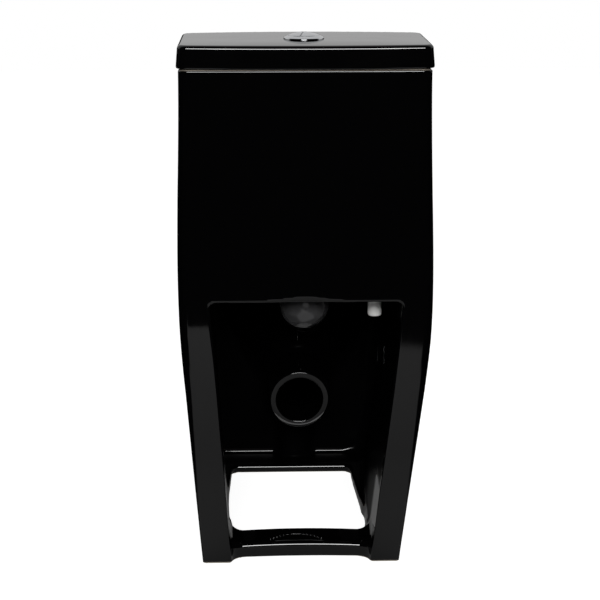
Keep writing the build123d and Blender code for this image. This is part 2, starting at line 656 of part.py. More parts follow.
# Flush valve
def valve_base():
    """The valve's foot: flange with two ears, outlet tail and raised sealing lip."""
    solid = post(VALVE_FLANGE_RADIUS, FLANGE_BOTTOM, FLANGE_TOP, 0, VALVE_Y)
    near = VALVE_Y - VALVE_EAR_RADIUS
    far = VALVE_Y + VALVE_EAR_RADIUS
    solid += block(-VALVE_EAR_OFFSET, VALVE_EAR_OFFSET, near, far, FLANGE_BOTTOM, FLANGE_TOP)
    for side in (-1, 1):
        solid += post(VALVE_EAR_RADIUS, FLANGE_BOTTOM, FLANGE_TOP, side * VALVE_EAR_OFFSET, VALVE_Y)
    solid += post(VALVE_TAIL_RADIUS, RIM_HEIGHT - VALVE_TAIL_LENGTH, SEAT_LIP_TOP, 0, VALVE_Y)
    solid -= post(VALVE_BORE_RADIUS, 0, SEAT_LIP_TOP, 0, VALVE_Y)
    for side in (-1, 1):
        hole = VALVE_BOLT_RADIUS + VALVE_BOLT_CLEARANCE
        solid -= post(hole, FLANGE_BOTTOM, FLANGE_TOP, side * VALVE_EAR_OFFSET, VALVE_Y)
    return solid


def valve_gasket():
    """The soft ring between the valve's foot and the tank floor."""
    return ring(GASKET_RADIUS, ELBOW_BORE_RADIUS, TANK_FLOOR_TOP, FLANGE_BOTTOM, 0, VALVE_Y)


def valve_bolts():
    """Two bolts that hold the valve's foot to the tank floor."""
    bolts = []
    end = RIM_HEIGHT - BOLT_NUT_HEIGHT - BOLT_END
    for side in (-1, 1):
        x = side * VALVE_EAR_OFFSET
        shank = post(VALVE_BOLT_RADIUS, end, FLANGE_TOP, x, VALVE_Y)
        bolts.append(shank + post(BOLT_HEAD_RADIUS, FLANGE_TOP, FLANGE_TOP + BOLT_HEAD_HEIGHT, x, VALVE_Y))
    return group(bolts)


def valve_bolt_nuts():
    """The nuts under the tank floor."""
    nuts = []
    for side in (-1, 1):
        x = side * VALVE_EAR_OFFSET
        flat = Pos(x, VALVE_Y, RIM_HEIGHT - BOLT_NUT_HEIGHT) * RegularPolygon(BOLT_NUT_RADIUS, HEX_SIDES)
        nuts.append(extrude(flat, BOLT_NUT_HEIGHT) - post(VALVE_BOLT_RADIUS, 0, RIM_HEIGHT, x, VALVE_Y))
    return group(nuts)


def valve_tower():
    """Two posts on the foot, a guide ring for the tube and two bars that carry the levers."""
    bar_bottom = TOWER_TOP - TOWER_BAR_HEIGHT
    ring_bottom = RING_TOP - TOWER_RING_HEIGHT
    guide = TUBE_RADIUS + GUIDE_CLEARANCE
    solid = ring(guide + TOWER_RING_WALL, guide, ring_bottom, RING_TOP, 0, VALVE_Y)
    for side in (-1, 1):
        stand = VALVE_Y + side * TOWER_POST_OFFSET
        solid += post(TOWER_POST_RADIUS, FLANGE_TOP, TOWER_TOP, 0, stand)
        inner = VALVE_Y + side * TOWER_SLOT / 2
        outer = inner + side * TOWER_BAR_THICKNESS
        half = TOWER_BAR_LENGTH / 2
        solid += block(-half, half, min(inner, outer), max(inner, outer), bar_bottom, TOWER_TOP)
        web = TOWER_WEB / 2
        solid += block(-web, web, min(outer, stand), max(outer, stand), bar_bottom, TOWER_TOP)
        wall = VALVE_Y + side * (guide + TOWER_RING_WALL / 2)
        solid += block(-web, web, min(wall, stand), max(wall, stand), ring_bottom, RING_TOP)
    for side in (-1, 1):
        solid -= bar_y(LEVER_PIN_RADIUS, 0, OVERALL_LENGTH, side * LEVER_PIVOT_OFFSET, PIVOT_HEIGHT)
    return solid


def lever_pins():
    """The pins that the two levers rock on."""
    reach = TOWER_SLOT / 2 + TOWER_BAR_THICKNESS
    near = VALVE_Y - reach
    far = VALVE_Y + reach
    pins = []
    for side in (-1, 1):
        pins.append(bar_y(LEVER_PIN_RADIUS, near, far, side * LEVER_PIVOT_OFFSET, PIVOT_HEIGHT))
    return group(pins)


def rocker_lever(side):
    """A rocker: the rod presses its inner pad down and its outer tip lifts a hook."""
    half_hub = TOWER_SLOT / 2 - LEVER_SIDE_CLEARANCE
    pivot = side * LEVER_PIVOT_OFFSET
    solid = bar_y(LEVER_HUB_RADIUS, VALVE_Y - half_hub, VALVE_Y + half_hub, pivot, PIVOT_HEIGHT)
    pad = side * LEVER_PAD_OFFSET
    tip = side * LEVER_TIP_OFFSET
    near = VALVE_Y - LEVER_WIDTH / 2
    far = VALVE_Y + LEVER_WIDTH / 2
    solid += block(min(pad, tip), max(pad, tip), near, far, LEVER_TOP - LEVER_THICKNESS, LEVER_TOP)
    bore = LEVER_PIN_RADIUS + PIN_CLEARANCE
    return solid - bar_y(bore, 0, OVERALL_LENGTH, pivot, PIVOT_HEIGHT)


def lift_hook(side, root_radius, low):
    """An arm from a sleeve on the valve's axis, out past a lever's tip and back over it."""
    outside = side * (LEVER_TIP_OFFSET + HOOK_OUTSIDE)
    beyond = outside + side * HOOK_THICKNESS
    over = side * (LEVER_TIP_OFFSET - HOOK_REACH)
    start = side * root_radius
    near = VALVE_Y - LEVER_WIDTH / 2
    far = VALVE_Y + LEVER_WIDTH / 2
    hook_low = LEVER_TOP + HOOK_GAP
    hook_high = hook_low + HOOK_THICKNESS
    solid = block(min(start, beyond), max(start, beyond), near, far, low, low + HOOK_THICKNESS)
    solid += block(min(outside, beyond), max(outside, beyond), near, far, low, hook_high)
    return solid + block(min(over, beyond), max(over, beyond), near, far, hook_low, hook_high)


def overflow_tube():
    """The lifting tube: overflow pipe, seal plate, seal collar and the hook of the full flush."""
    collar_bottom = SEAL_BOTTOM - TUBE_COLLAR_HEIGHT
    solid = post(TUBE_RADIUS, collar_bottom, TUBE_TOP, 0, VALVE_Y)
    solid += post(TUBE_COLLAR_RADIUS, collar_bottom, SEAL_BOTTOM, 0, VALVE_Y)
    solid += post(TUBE_PLATE_RADIUS, SEAL_TOP, SEAL_TOP + TUBE_PLATE_HEIGHT, 0, VALVE_Y)
    solid += lift_hook(1, TUBE_RADIUS - TUBE_WALL, TUBE_TOP - 2 * HOOK_THICKNESS)
    return solid - post(TUBE_RADIUS - TUBE_WALL, 0, TUBE_TOP, 0, VALVE_Y)


def valve_seal():
    """The soft disc that closes on the foot's lip."""
    return ring(SEAL_RADIUS, TUBE_RADIUS, SEAL_BOTTOM, SEAL_TOP, 0, VALVE_Y)


def half_flush_float():
    """The sleeve float of the half flush, standing on the guide ring, with its own hook."""
    bore = TUBE_RADIUS + GUIDE_CLEARANCE
    bottom = RING_TOP + FLOAT_SEAT_GAP
    solid = post(HALF_FLOAT_RADIUS, bottom, bottom + HALF_FLOAT_HEIGHT, 0, VALVE_Y)
    solid += lift_hook(-1, bore, bottom + HALF_FLOAT_HEIGHT - HOOK_THICKNESS)
    return solid - post(bore, 0, TANK_TOP, 0, VALVE_Y)


# Fill valve
def fill_valve_body():
    """Inlet tail, clamping flange and column, with the float's lower stop."""
    tail_end = RIM_HEIGHT - TAIL_DROP
    neck = RIM_HEIGHT - INLET_NUT_HEIGHT - TAIL_NECK_DROP
    tail = post(TAIL_RADIUS, tail_end, neck, FILL_OFFSET_X, VALVE_Y)
    tail = fillet(tail.edges().group_by(Axis.Z)[0], TAIL_END_ROUND)
    solid = tail + post(TAIL_NECK_RADIUS, neck, FILL_WASHER_TOP, FILL_OFFSET_X, VALVE_Y)
    solid += post(FILL_FLANGE_RADIUS, FILL_WASHER_TOP, FILL_FLANGE_TOP, FILL_OFFSET_X, VALVE_Y)
    solid += post(COLUMN_RADIUS, FILL_FLANGE_TOP, HEAD_BOTTOM, FILL_OFFSET_X, VALVE_Y)
    stop = FLOAT_BOTTOM - FLOAT_SEAT_GAP
    solid += post(FLOAT_STOP_RADIUS, stop - FLOAT_STOP_HEIGHT, stop, FILL_OFFSET_X, VALVE_Y)
    return solid - post(TAIL_BORE_RADIUS, tail_end, HEAD_BOTTOM, FILL_OFFSET_X, VALVE_Y)


def inlet_washer():
    """The soft washer between the fill valve's flange and the tank floor."""
    return ring(FILL_FLANGE_RADIUS, TAIL_NECK_RADIUS, TANK_FLOOR_TOP, FILL_WASHER_TOP, FILL_OFFSET_X, VALVE_Y)


def inlet_nut():
    """The plastic nut that clamps the fill valve under the tank floor."""
    place = Pos(FILL_OFFSET_X, VALVE_Y, RIM_HEIGHT - INLET_NUT_HEIGHT)
    nut = extrude(place * RegularPolygon(INLET_NUT_RADIUS, HEX_SIDES), INLET_NUT_HEIGHT)
    return nut - post(TAIL_NECK_RADIUS + NUT_CLEARANCE, 0, RIM_HEIGHT, FILL_OFFSET_X, VALVE_Y)


def fill_valve_head():
    """The valve's head, with two lugs for the float lever's pin."""
    solid = post(HEAD_RADIUS, HEAD_BOTTOM, HEAD_TOP, FILL_OFFSET_X, VALVE_Y)
    solid = fillet(solid.edges().group_by(Axis.Z)[0], HEAD_ROUND)
    for side in (-1, 1):
        inner = VALVE_Y + side * (FLOAT_LEVER_WIDTH / 2 + LEVER_SIDE_CLEARANCE)
        outer = inner + side * HEAD_LUG_THICKNESS
        left = FILL_OFFSET_X - HEAD_LUG_RADIUS
        right = FILL_OFFSET_X + HEAD_LUG_RADIUS
        near = min(inner, outer)
        far = max(inner, outer)
        solid += block(left, right, near, far, HEAD_TOP, FLOAT_LEVER_HEIGHT)
        solid += bar_y(HEAD_LUG_RADIUS, near, far, FILL_OFFSET_X, FLOAT_LEVER_HEIGHT)
    return solid - bar_y(FLOAT_PIN_RADIUS, 0, OVERALL_LENGTH, FILL_OFFSET_X, FLOAT_LEVER_HEIGHT)


def float_lever_pin():
    """The pin through the head's lugs."""
    reach = FLOAT_LEVER_WIDTH / 2 + LEVER_SIDE_CLEARANCE + HEAD_LUG_THICKNESS
    return bar_y(FLOAT_PIN_RADIUS, VALVE_Y - reach, VALVE_Y + reach, FILL_OFFSET_X, FLOAT_LEVER_HEIGHT)


def float_lever():
    """The lever from the head out to the link, with a slot that the link slides in."""
    link_x = FILL_OFFSET_X - LINK_OFFSET
    end = link_x - FLOAT_LEVER_SLOT / 2 - FLOAT_LEVER_END
    near = VALVE_Y - FLOAT_LEVER_WIDTH / 2
    far = VALVE_Y + FLOAT_LEVER_WIDTH / 2
    low = FLOAT_LEVER_HEIGHT - FLOAT_LEVER_THICKNESS / 2
    high = FLOAT_LEVER_HEIGHT + FLOAT_LEVER_THICKNESS / 2
    solid = block(end, FILL_OFFSET_X, near, far, low, high)
    solid += bar_y(HEAD_LUG_RADIUS, near, far, FILL_OFFSET_X, FLOAT_LEVER_HEIGHT)
    slot = SlotOverall(FLOAT_LEVER_SLOT, FLOAT_LEVER_SLOT_WIDTH)
    solid -= extrude(Pos(link_x, VALVE_Y, low) * slot, FLOAT_LEVER_THICKNESS)
    bore = FLOAT_PIN_RADIUS + PIN_CLEARANCE
    return solid - bar_y(bore, near, far, FILL_OFFSET_X, FLOAT_LEVER_HEIGHT)


def float_cup():
    """The float that slides on the column, with a lug for the link."""
    link_x = FILL_OFFSET_X - LINK_OFFSET
    solid = post(FLOAT_RADIUS, FLOAT_BOTTOM, FLOAT_TOP, FILL_OFFSET_X, VALVE_Y)
    lug_bottom = FLOAT_TOP - FLOAT_LUG_HEIGHT
    solid += post(FLOAT_LUG_RADIUS, lug_bottom, FLOAT_TOP, link_x, VALVE_Y)
    near = VALVE_Y - FLOAT_LUG_RADIUS
    far = VALVE_Y + FLOAT_LUG_RADIUS
    solid += block(link_x, FILL_OFFSET_X, near, far, lug_bottom, FLOAT_TOP)
    return solid - post(COLUMN_RADIUS + FLOAT_CLEARANCE, 0, TANK_TOP, FILL_OFFSET_X, VALVE_Y)


def float_link():
    """The wire link from the float up through the lever, with a stop below and above it."""
    link_x = FILL_OFFSET_X - LINK_OFFSET
    low = FLOAT_LEVER_HEIGHT - FLOAT_LEVER_THICKNESS / 2 - LINK_STOP_GAP
    high = FLOAT_LEVER_HEIGHT + FLOAT_LEVER_THICKNESS / 2 + LINK_STOP_GAP
    solid = post(LINK_RADIUS, FLOAT_TOP, high + LINK_STOP_HEIGHT, link_x, VALVE_Y)
    solid += post(LINK_STOP_RADIUS, low - LINK_STOP_HEIGHT, low, link_x, VALVE_Y)
    return solid + post(LINK_STOP_RADIUS, high, high + LINK_STOP_HEIGHT, link_x, VALVE_Y)


# Seat, cover and hinges
def knuckles(inner_offset, plate_low, plate_high):
    """Two hinge knuckles with arms that run forward into a seat or cover."""
    solids = []
    for side in (-1, 1):
        x0 = side * (HINGE_SPREAD / 2 + inner_offset)
        x1 = x0 + side * KNUCKLE_WIDTH
        left = min(x0, x1)
        right = max(x0, x1)
        knuckle = bar_x(KNUCKLE_RADIUS, left, right, HINGE_SETBACK_Y, HINGE_AXIS)
        low = max(plate_low, HINGE_AXIS - KNUCKLE_RADIUS)
        knuckle += block(left, right, SEAT_BACK_Y - KNUCKLE_ARM, HINGE_SETBACK_Y, low, plate_high)
        solids.append(knuckle)
    return solids


def pin_bores():
    """The running bores of the hinge knuckles."""
    return bar_x(HINGE_PIN_RADIUS + PIN_CLEARANCE, -BODY_WIDTH, BODY_WIDTH, HINGE_SETBACK_Y, HINGE_AXIS)


def seat_ring():
    """The seat: a D-shaped ring with round edges and two outer hinge knuckles."""
    front = COVER_FRONT + SEAT_FRONT_SETBACK
    outline = d_outline(SEAT_WIDTH / 2, SEAT_BACK_Y, front, BACK_CORNER_RADIUS)
    solid = extrude(Pos(0, 0, SEAT_BOTTOM) * outline, SEAT_THICKNESS)
    hole = Pos(0, SEAT_HOLE_CENTRE_Y, SEAT_BOTTOM) * Ellipse(SEAT_HOLE_WIDTH / 2, SEAT_HOLE_LENGTH / 2)
    solid -= extrude(hole, SEAT_THICKNESS)
    solid = fillet(solid.edges().group_by(Axis.Z)[-1], SEAT_ROUND)
    offset = HINGE_POST_WIDTH / 2 + HINGE_SIDE_CLEARANCE
    for knuckle in knuckles(offset, SEAT_BOTTOM, HINGE_AXIS):
        solid += knuckle
    return solid - pin_bores()


def seat_cover():
    """The cover: a crowned D-shaped shell, hollow below, with two inner hinge knuckles."""
    outline = d_outline(COVER_WIDTH / 2, SEAT_BACK_Y, COVER_FRONT, BACK_CORNER_RADIUS)
    solid = extrude(Pos(0, 0, COVER_BOTTOM) * outline, COVER_THICKNESS)
    crown = ((COVER_WIDTH / 2) ** 2 + COVER_CROWN ** 2) / (2 * COVER_CROWN)
    solid &= bar_y(crown, -OVERALL_LENGTH, OVERALL_LENGTH, 0, COVER_TOP - crown)
    crown_face = solid.faces().filter_by(GeomType.CYLINDER).sort_by(SortBy.AREA)[-1]
    solid = fillet(crown_face.edges(), COVER_ROUND)
    inside_back = SEAT_BACK_Y - 2 * COVER_WALL
    inside_front = COVER_FRONT + COVER_WALL
    inside = d_outline(COVER_WIDTH / 2 - COVER_WALL, inside_back, inside_front, BACK_CORNER_RADIUS)
    solid -= extrude(Pos(0, 0, COVER_BOTTOM) * inside, COVER_RECESS)
    offset = -HINGE_POST_WIDTH / 2 - HINGE_SIDE_CLEARANCE - KNUCKLE_WIDTH
    for knuckle in knuckles(offset, SEAT_TOP + COVER_GAP, COVER_BOTTOM + COVER_GAP):
        solid += knuckle
    return solid - pin_bores()


def seat_bumpers():
    """Soft feet under the seat."""
    feet = []
    across = (SEAT_WIDTH / 2 + BASIN_HALF_WIDTH) / 2
    for side in (-1, 1):
        for share in (BUMPER_BACK_SHARE, BUMPER_FRONT_SHARE):
            y = BASIN_CENTRE_Y + BASIN_HALF_LENGTH * share
            feet.append(post(BUMPER_RADIUS, RIM_HEIGHT + BUMPER_GAP, SEAT_BOTTOM, side * across, y))
    return group(feet)


def cover_bumpers():
    """Soft studs under the cover's edge."""
    feet = []
    across = COVER_WIDTH / 2 - COVER_WALL / 2
    for side in (-1, 1):
        for y in (BASIN_CENTRE_Y + BASIN_HALF_LENGTH * BUMPER_BACK_SHARE, BASIN_CENTRE_Y):
            feet.append(post(COVER_BUMPER_RADIUS, SEAT_TOP + BUMPER_GAP, COVER_BOTTOM, side * across, y))
    return group(feet)


def hinge_rosettes():
    """Round plates on the seat deck under the hinge posts."""
    plates = []
    for side in (-1, 1):
        x = side * HINGE_SPREAD / 2
        plate = post(ROSETTE_RADIUS, RIM_HEIGHT, RIM_HEIGHT + ROSETTE_HEIGHT, x, HINGE_SETBACK_Y)
        plate = fillet(plate.edges().group_by(Axis.Z)[-1], ROSETTE_ROUND)
        plates.append(plate - post(STUD_RADIUS, 0, 2 * RIM_HEIGHT, x, HINGE_SETBACK_Y))
    return group(plates)


def hinge_posts():
    """The posts that hold the hinge pins, round over the top."""
    posts = []
    low = RIM_HEIGHT + ROSETTE_HEIGHT
    for side in (-1, 1):
        x0 = side * HINGE_SPREAD / 2 - HINGE_POST_WIDTH / 2
        x1 = x0 + HINGE_POST_WIDTH
        near = HINGE_SETBACK_Y - HINGE_POST_RADIUS
        far = HINGE_SETBACK_Y + HINGE_POST_RADIUS
        stand = block(x0, x1, near, far, low, HINGE_AXIS)
        stand += bar_x(HINGE_POST_RADIUS, x0, x1, HINGE_SETBACK_Y, HINGE_AXIS)
        posts.append(stand - bar_x(HINGE_PIN_RADIUS, x0, x1, HINGE_SETBACK_Y, HINGE_AXIS))
    return group(posts)


def hinge_pins():
    """The pins, held in the posts, that the seat and the cover turn on."""
    pins = []
    for side in (-1, 1):
        x = side * HINGE_SPREAD / 2
        half = HINGE_PIN_LENGTH / 2
        pins.append(bar_x(HINGE_PIN_RADIUS, x - half, x + half, HINGE_SETBACK_Y, HINGE_AXIS))
    return group(pins)


def hinge_studs():
    """The studs under the posts, through the rosettes and the seat deck."""
    studs = []
    low = BLOCK_BOTTOM - HINGE_NUT_HEIGHT - STUD_END
    for side in (-1, 1):
        x = side * HINGE_SPREAD / 2
        studs.append(post(STUD_RADIUS, low, RIM_HEIGHT + ROSETTE_HEIGHT, x, HINGE_SETBACK_Y))
    return group(studs)


def hinge_nuts():
    """The nuts under the seat deck."""
    nuts = []
    for side in (-1, 1):
        x = side * HINGE_SPREAD / 2
        place = Pos(x, HINGE_SETBACK_Y, BLOCK_BOTTOM - HINGE_NUT_HEIGHT)
        nut = extrude(place * RegularPolygon(HINGE_NUT_RADIUS, HEX_SIDES), HINGE_NUT_HEIGHT)
        nuts.append(nut - post(STUD_RADIUS, 0, RIM_HEIGHT, x, HINGE_SETBACK_Y))
    return group(nuts)


FULL_SIDE = 1
HALF_SIDE = -1

PIECES = {
    "tank_shell": tank_shell(),
    "pedestal": pedestal(),
    "bowl": bowl(),
    "trapway": trapway(),
    "flush_elbow": flush_elbow(),
    "tank_lid": tank_lid(),
    "lid_pads": lid_pads(),
    "button_collar": button_collar(),
    "button_nut": button_nut(),
    "full_flush_button": flush_button(FULL_SIDE),
    "half_flush_button": flush_button(HALF_SIDE),
    "full_push_rod": push_rod(FULL_SIDE),
    "half_push_rod": push_rod(HALF_SIDE),
    "full_button_spring": button_spring(FULL_SIDE),
    "half_button_spring": button_spring(HALF_SIDE),
    "valve_base": valve_base(),
    "valve_gasket": valve_gasket(),
    "valve_bolts": valve_bolts(),
    "valve_bolt_nuts": valve_bolt_nuts(),
    "valve_tower": valve_tower(),
    "overflow_tube": overflow_tube(),
    "valve_seal": valve_seal(),
    "half_flush_float": half_flush_float(),
    "full_lever": rocker_lever(FULL_SIDE),
    "half_lever": rocker_lever(HALF_SIDE),
    "lever_pins": lever_pins(),
    "fill_valve_body": fill_valve_body(),
    "fill_valve_head": fill_valve_head(),
    "float_cup": float_cup(),
    "float_link": float_link(),
    "float_lever": float_lever(),
    "float_lever_pin": float_lever_pin(),
    "inlet_washer": inlet_washer(),
    "inlet_nut": inlet_nut(),
    "seat_ring": seat_ring(),
    "seat_cover": seat_cover(),
    "seat_bumpers": seat_bumpers(),
    "cover_bumpers": cover_bumpers(),
    "hinge_rosettes": hinge_rosettes(),
    "hinge_posts": hinge_posts(),
    "hinge_pins": hinge_pins(),
    "hinge_studs": hinge_studs(),
    "hinge_nuts": hinge_nuts(),
}

os.makedirs("parts", exist_ok=True)
for name, shape in PIECES.items():
    export_step(shape, f"parts/{name}.step")
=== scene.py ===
"""Looks of a one-piece skirted toilet in black glaze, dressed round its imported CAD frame."""

import logging
import math
from dataclasses import dataclass
from enum import Enum
from typing import Callable

import bpy
import numpy as np
from mathutils import Matrix, Vector


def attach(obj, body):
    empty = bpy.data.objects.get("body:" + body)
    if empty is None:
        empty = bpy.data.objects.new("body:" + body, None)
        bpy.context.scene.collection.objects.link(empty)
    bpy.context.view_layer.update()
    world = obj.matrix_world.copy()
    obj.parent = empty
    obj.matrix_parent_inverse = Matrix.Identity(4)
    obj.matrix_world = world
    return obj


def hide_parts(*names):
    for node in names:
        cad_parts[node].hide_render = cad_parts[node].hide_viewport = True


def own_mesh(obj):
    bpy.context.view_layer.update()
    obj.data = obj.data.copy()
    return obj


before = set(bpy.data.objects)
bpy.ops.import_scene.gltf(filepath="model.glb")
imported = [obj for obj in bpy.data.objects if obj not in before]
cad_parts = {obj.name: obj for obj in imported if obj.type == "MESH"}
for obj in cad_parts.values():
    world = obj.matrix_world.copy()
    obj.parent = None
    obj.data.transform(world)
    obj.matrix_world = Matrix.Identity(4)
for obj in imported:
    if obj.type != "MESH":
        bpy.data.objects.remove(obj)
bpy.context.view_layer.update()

LOG = logging.getLogger("toilet")
MM = 0.001
INNER = "inner"
NOSE_RATIO = 0.66
BROAD_RATIO = 1.45
NOISE_SPAN = (0.3, 0.7)
OVAL_SLOPE = 1e-4
PLAIN_IOR = 1.5

Form = Callable[[np.ndarray, np.ndarray, np.ndarray], np.ndarray]
Stops = tuple[tuple[float, float], ...]
Point = tuple[float, float, float]
Colour = tuple[float, float, float]
Socket = bpy.types.NodeSocket


# Ways to put forms together
def meet(a: np.ndarray, b: np.ndarray, radius: float) -> np.ndarray:
    """Keeps what two forms share, with a round edge where they cross.

    Args:
        a: Distances to the first form.
        b: Distances to the second form.
        radius: Radius of the round edge.

    Returns:
        Distances to the shared form.
    """
    u = np.maximum(radius + a, 0.0)
    v = np.maximum(radius + b, 0.0)
    return np.minimum(-radius, np.maximum(a, b)) + np.sqrt(u * u + v * v)


def join(a: np.ndarray, b: np.ndarray, radius: float) -> np.ndarray:
    """Runs two forms together, with a round hollow where they cross.

    Args:
        a: Distances to the first form.
        b: Distances to the second form.
        radius: Radius of the hollow.

    Returns:
        Distances to the joined form.
    """
    u = np.maximum(radius - a, 0.0)
    v = np.maximum(radius - b, 0.0)
    return np.maximum(radius, np.minimum(a, b)) - np.sqrt(u * u + v * v)


def cut(a: np.ndarray, b: np.ndarray, radius: float) -> np.ndarray:
    """Takes the second form out of the first, with a round edge.

    Args:
        a: Distances to the form that stays.
        b: Distances to the form that goes.
        radius: Radius of the round edge.

    Returns:
        Distances to what is left.
    """
    return meet(a, -b, radius)


def rod(x: np.ndarray, y: np.ndarray, z: np.ndarray, start: Point, end: Point) -> np.ndarray:
    """Distance to the straight line between two points.

    Args:
        x: Places along X.
        y: Places along Y.
        z: Places along Z.
        start: First end of the line.
        end: Second end of the line.

    Returns:
        Distances to the line.
    """
    run = np.subtract(end, start)
    share = ((x - start[0]) * run[0] + (y - start[1]) * run[1] + (z - start[2]) * run[2]) / float(run @ run)
    share = np.clip(share, 0.0, 1.0)
    return np.sqrt(
        (x - start[0] - share * run[0]) ** 2
        + (y - start[1] - share * run[1]) ** 2
        + (z - start[2] - share * run[2]) ** 2
    )


def d_outline(
    x: np.ndarray, y: np.ndarray, half: np.ndarray, back: float, front: np.ndarray, corner: np.ndarray
) -> np.ndarray:
    """Distance to a D-shaped plan: flat back, straight sides and a front of three tangent arcs.

    Args:
        x: Places along X.
        y: Places along Y.
        half: Half of the width.
        back: Place of the flat back.
        front: Place of the tip of the front.
        corner: Radius of the back corners.

    Returns:
        Distances in plan.
    """
    ax = np.abs(x)
    nose = half * NOSE_RATIO
    broad = half * BROAD_RATIO
    side = half - nose
    bend_y = front + broad - np.sqrt((broad - nose) ** 2 - side**2)
    fy = y - front - broad
    rear = meet(ax - half, y - back, corner)
    corner_arc = np.sqrt((ax - side) ** 2 + (y - bend_y) ** 2) - nose
    front_arc = np.sqrt(ax * ax + fy * fy) - broad
    outer = side * fy + (front + broad - bend_y) * ax > 0
    return np.where(y >= bend_y, rear, np.where(outer, corner_arc, front_arc))


def oval(x: np.ndarray, y: np.ndarray, a: np.ndarray, b: np.ndarray) -> np.ndarray:
    """About the distance to an ellipse round the origin.

    Args:
        x: Places along X.
        y: Places along Y.
        a: Half of the width along X.
        b: Half of the length along Y.

    Returns:
        Distances in plan, below 0 inside.
    """
    k = np.sqrt((x / a) ** 2 + (y / b) ** 2)
    slope = np.sqrt((x / a**2) ** 2 + (y / b**2) ** 2)
    return k * (k - 1) / np.maximum(slope, OVAL_SLOPE)


def arc_radius(half: float, rise: float) -> float:
    """Radius of the arc that rises so far over half of its chord."""
    return (half**2 + rise**2) / (2 * rise)


def fade(values: np.ndarray, start: float, run: float) -> np.ndarray:
    """Goes from 0 at a start to 1 a run further on, or further back where the run is below 0.

    Args:
        values: The values.
        start: Where the rise starts.
        run: How far it takes.

    Returns:
        Shares from 0 to 1.
    """
    return np.clip((values - start) / run, 0.0, 1.0)


def graded(*stops: tuple[float, float]) -> np.ndarray:
    """Grid places whose spacing changes at given stops.

    Args:
        *stops: Pairs of a place and the spacing that holds from there on; the last spacing is unused.

    Returns:
        The places, in order.
    """
    runs = []
    for (low, step), (high, _) in zip(stops, stops[1:]):
        runs.append(np.linspace(low, high, max(2, round((high - low) / step) + 1))[:-1])
    runs.append(np.array([stops[-1][0]]))
    return np.concatenate(runs)


def linked(name: str, data: bpy.types.ID) -> bpy.types.Object:
    """Makes an object and puts it in the scene.

    Args:
        name: The object's name.
        data: Its mesh, camera or lamp.

    Returns:
        The new object, at the origin.
    """
    made = bpy.data.objects.new(name, data)
    bpy.context.scene.collection.objects.link(made)
    return made


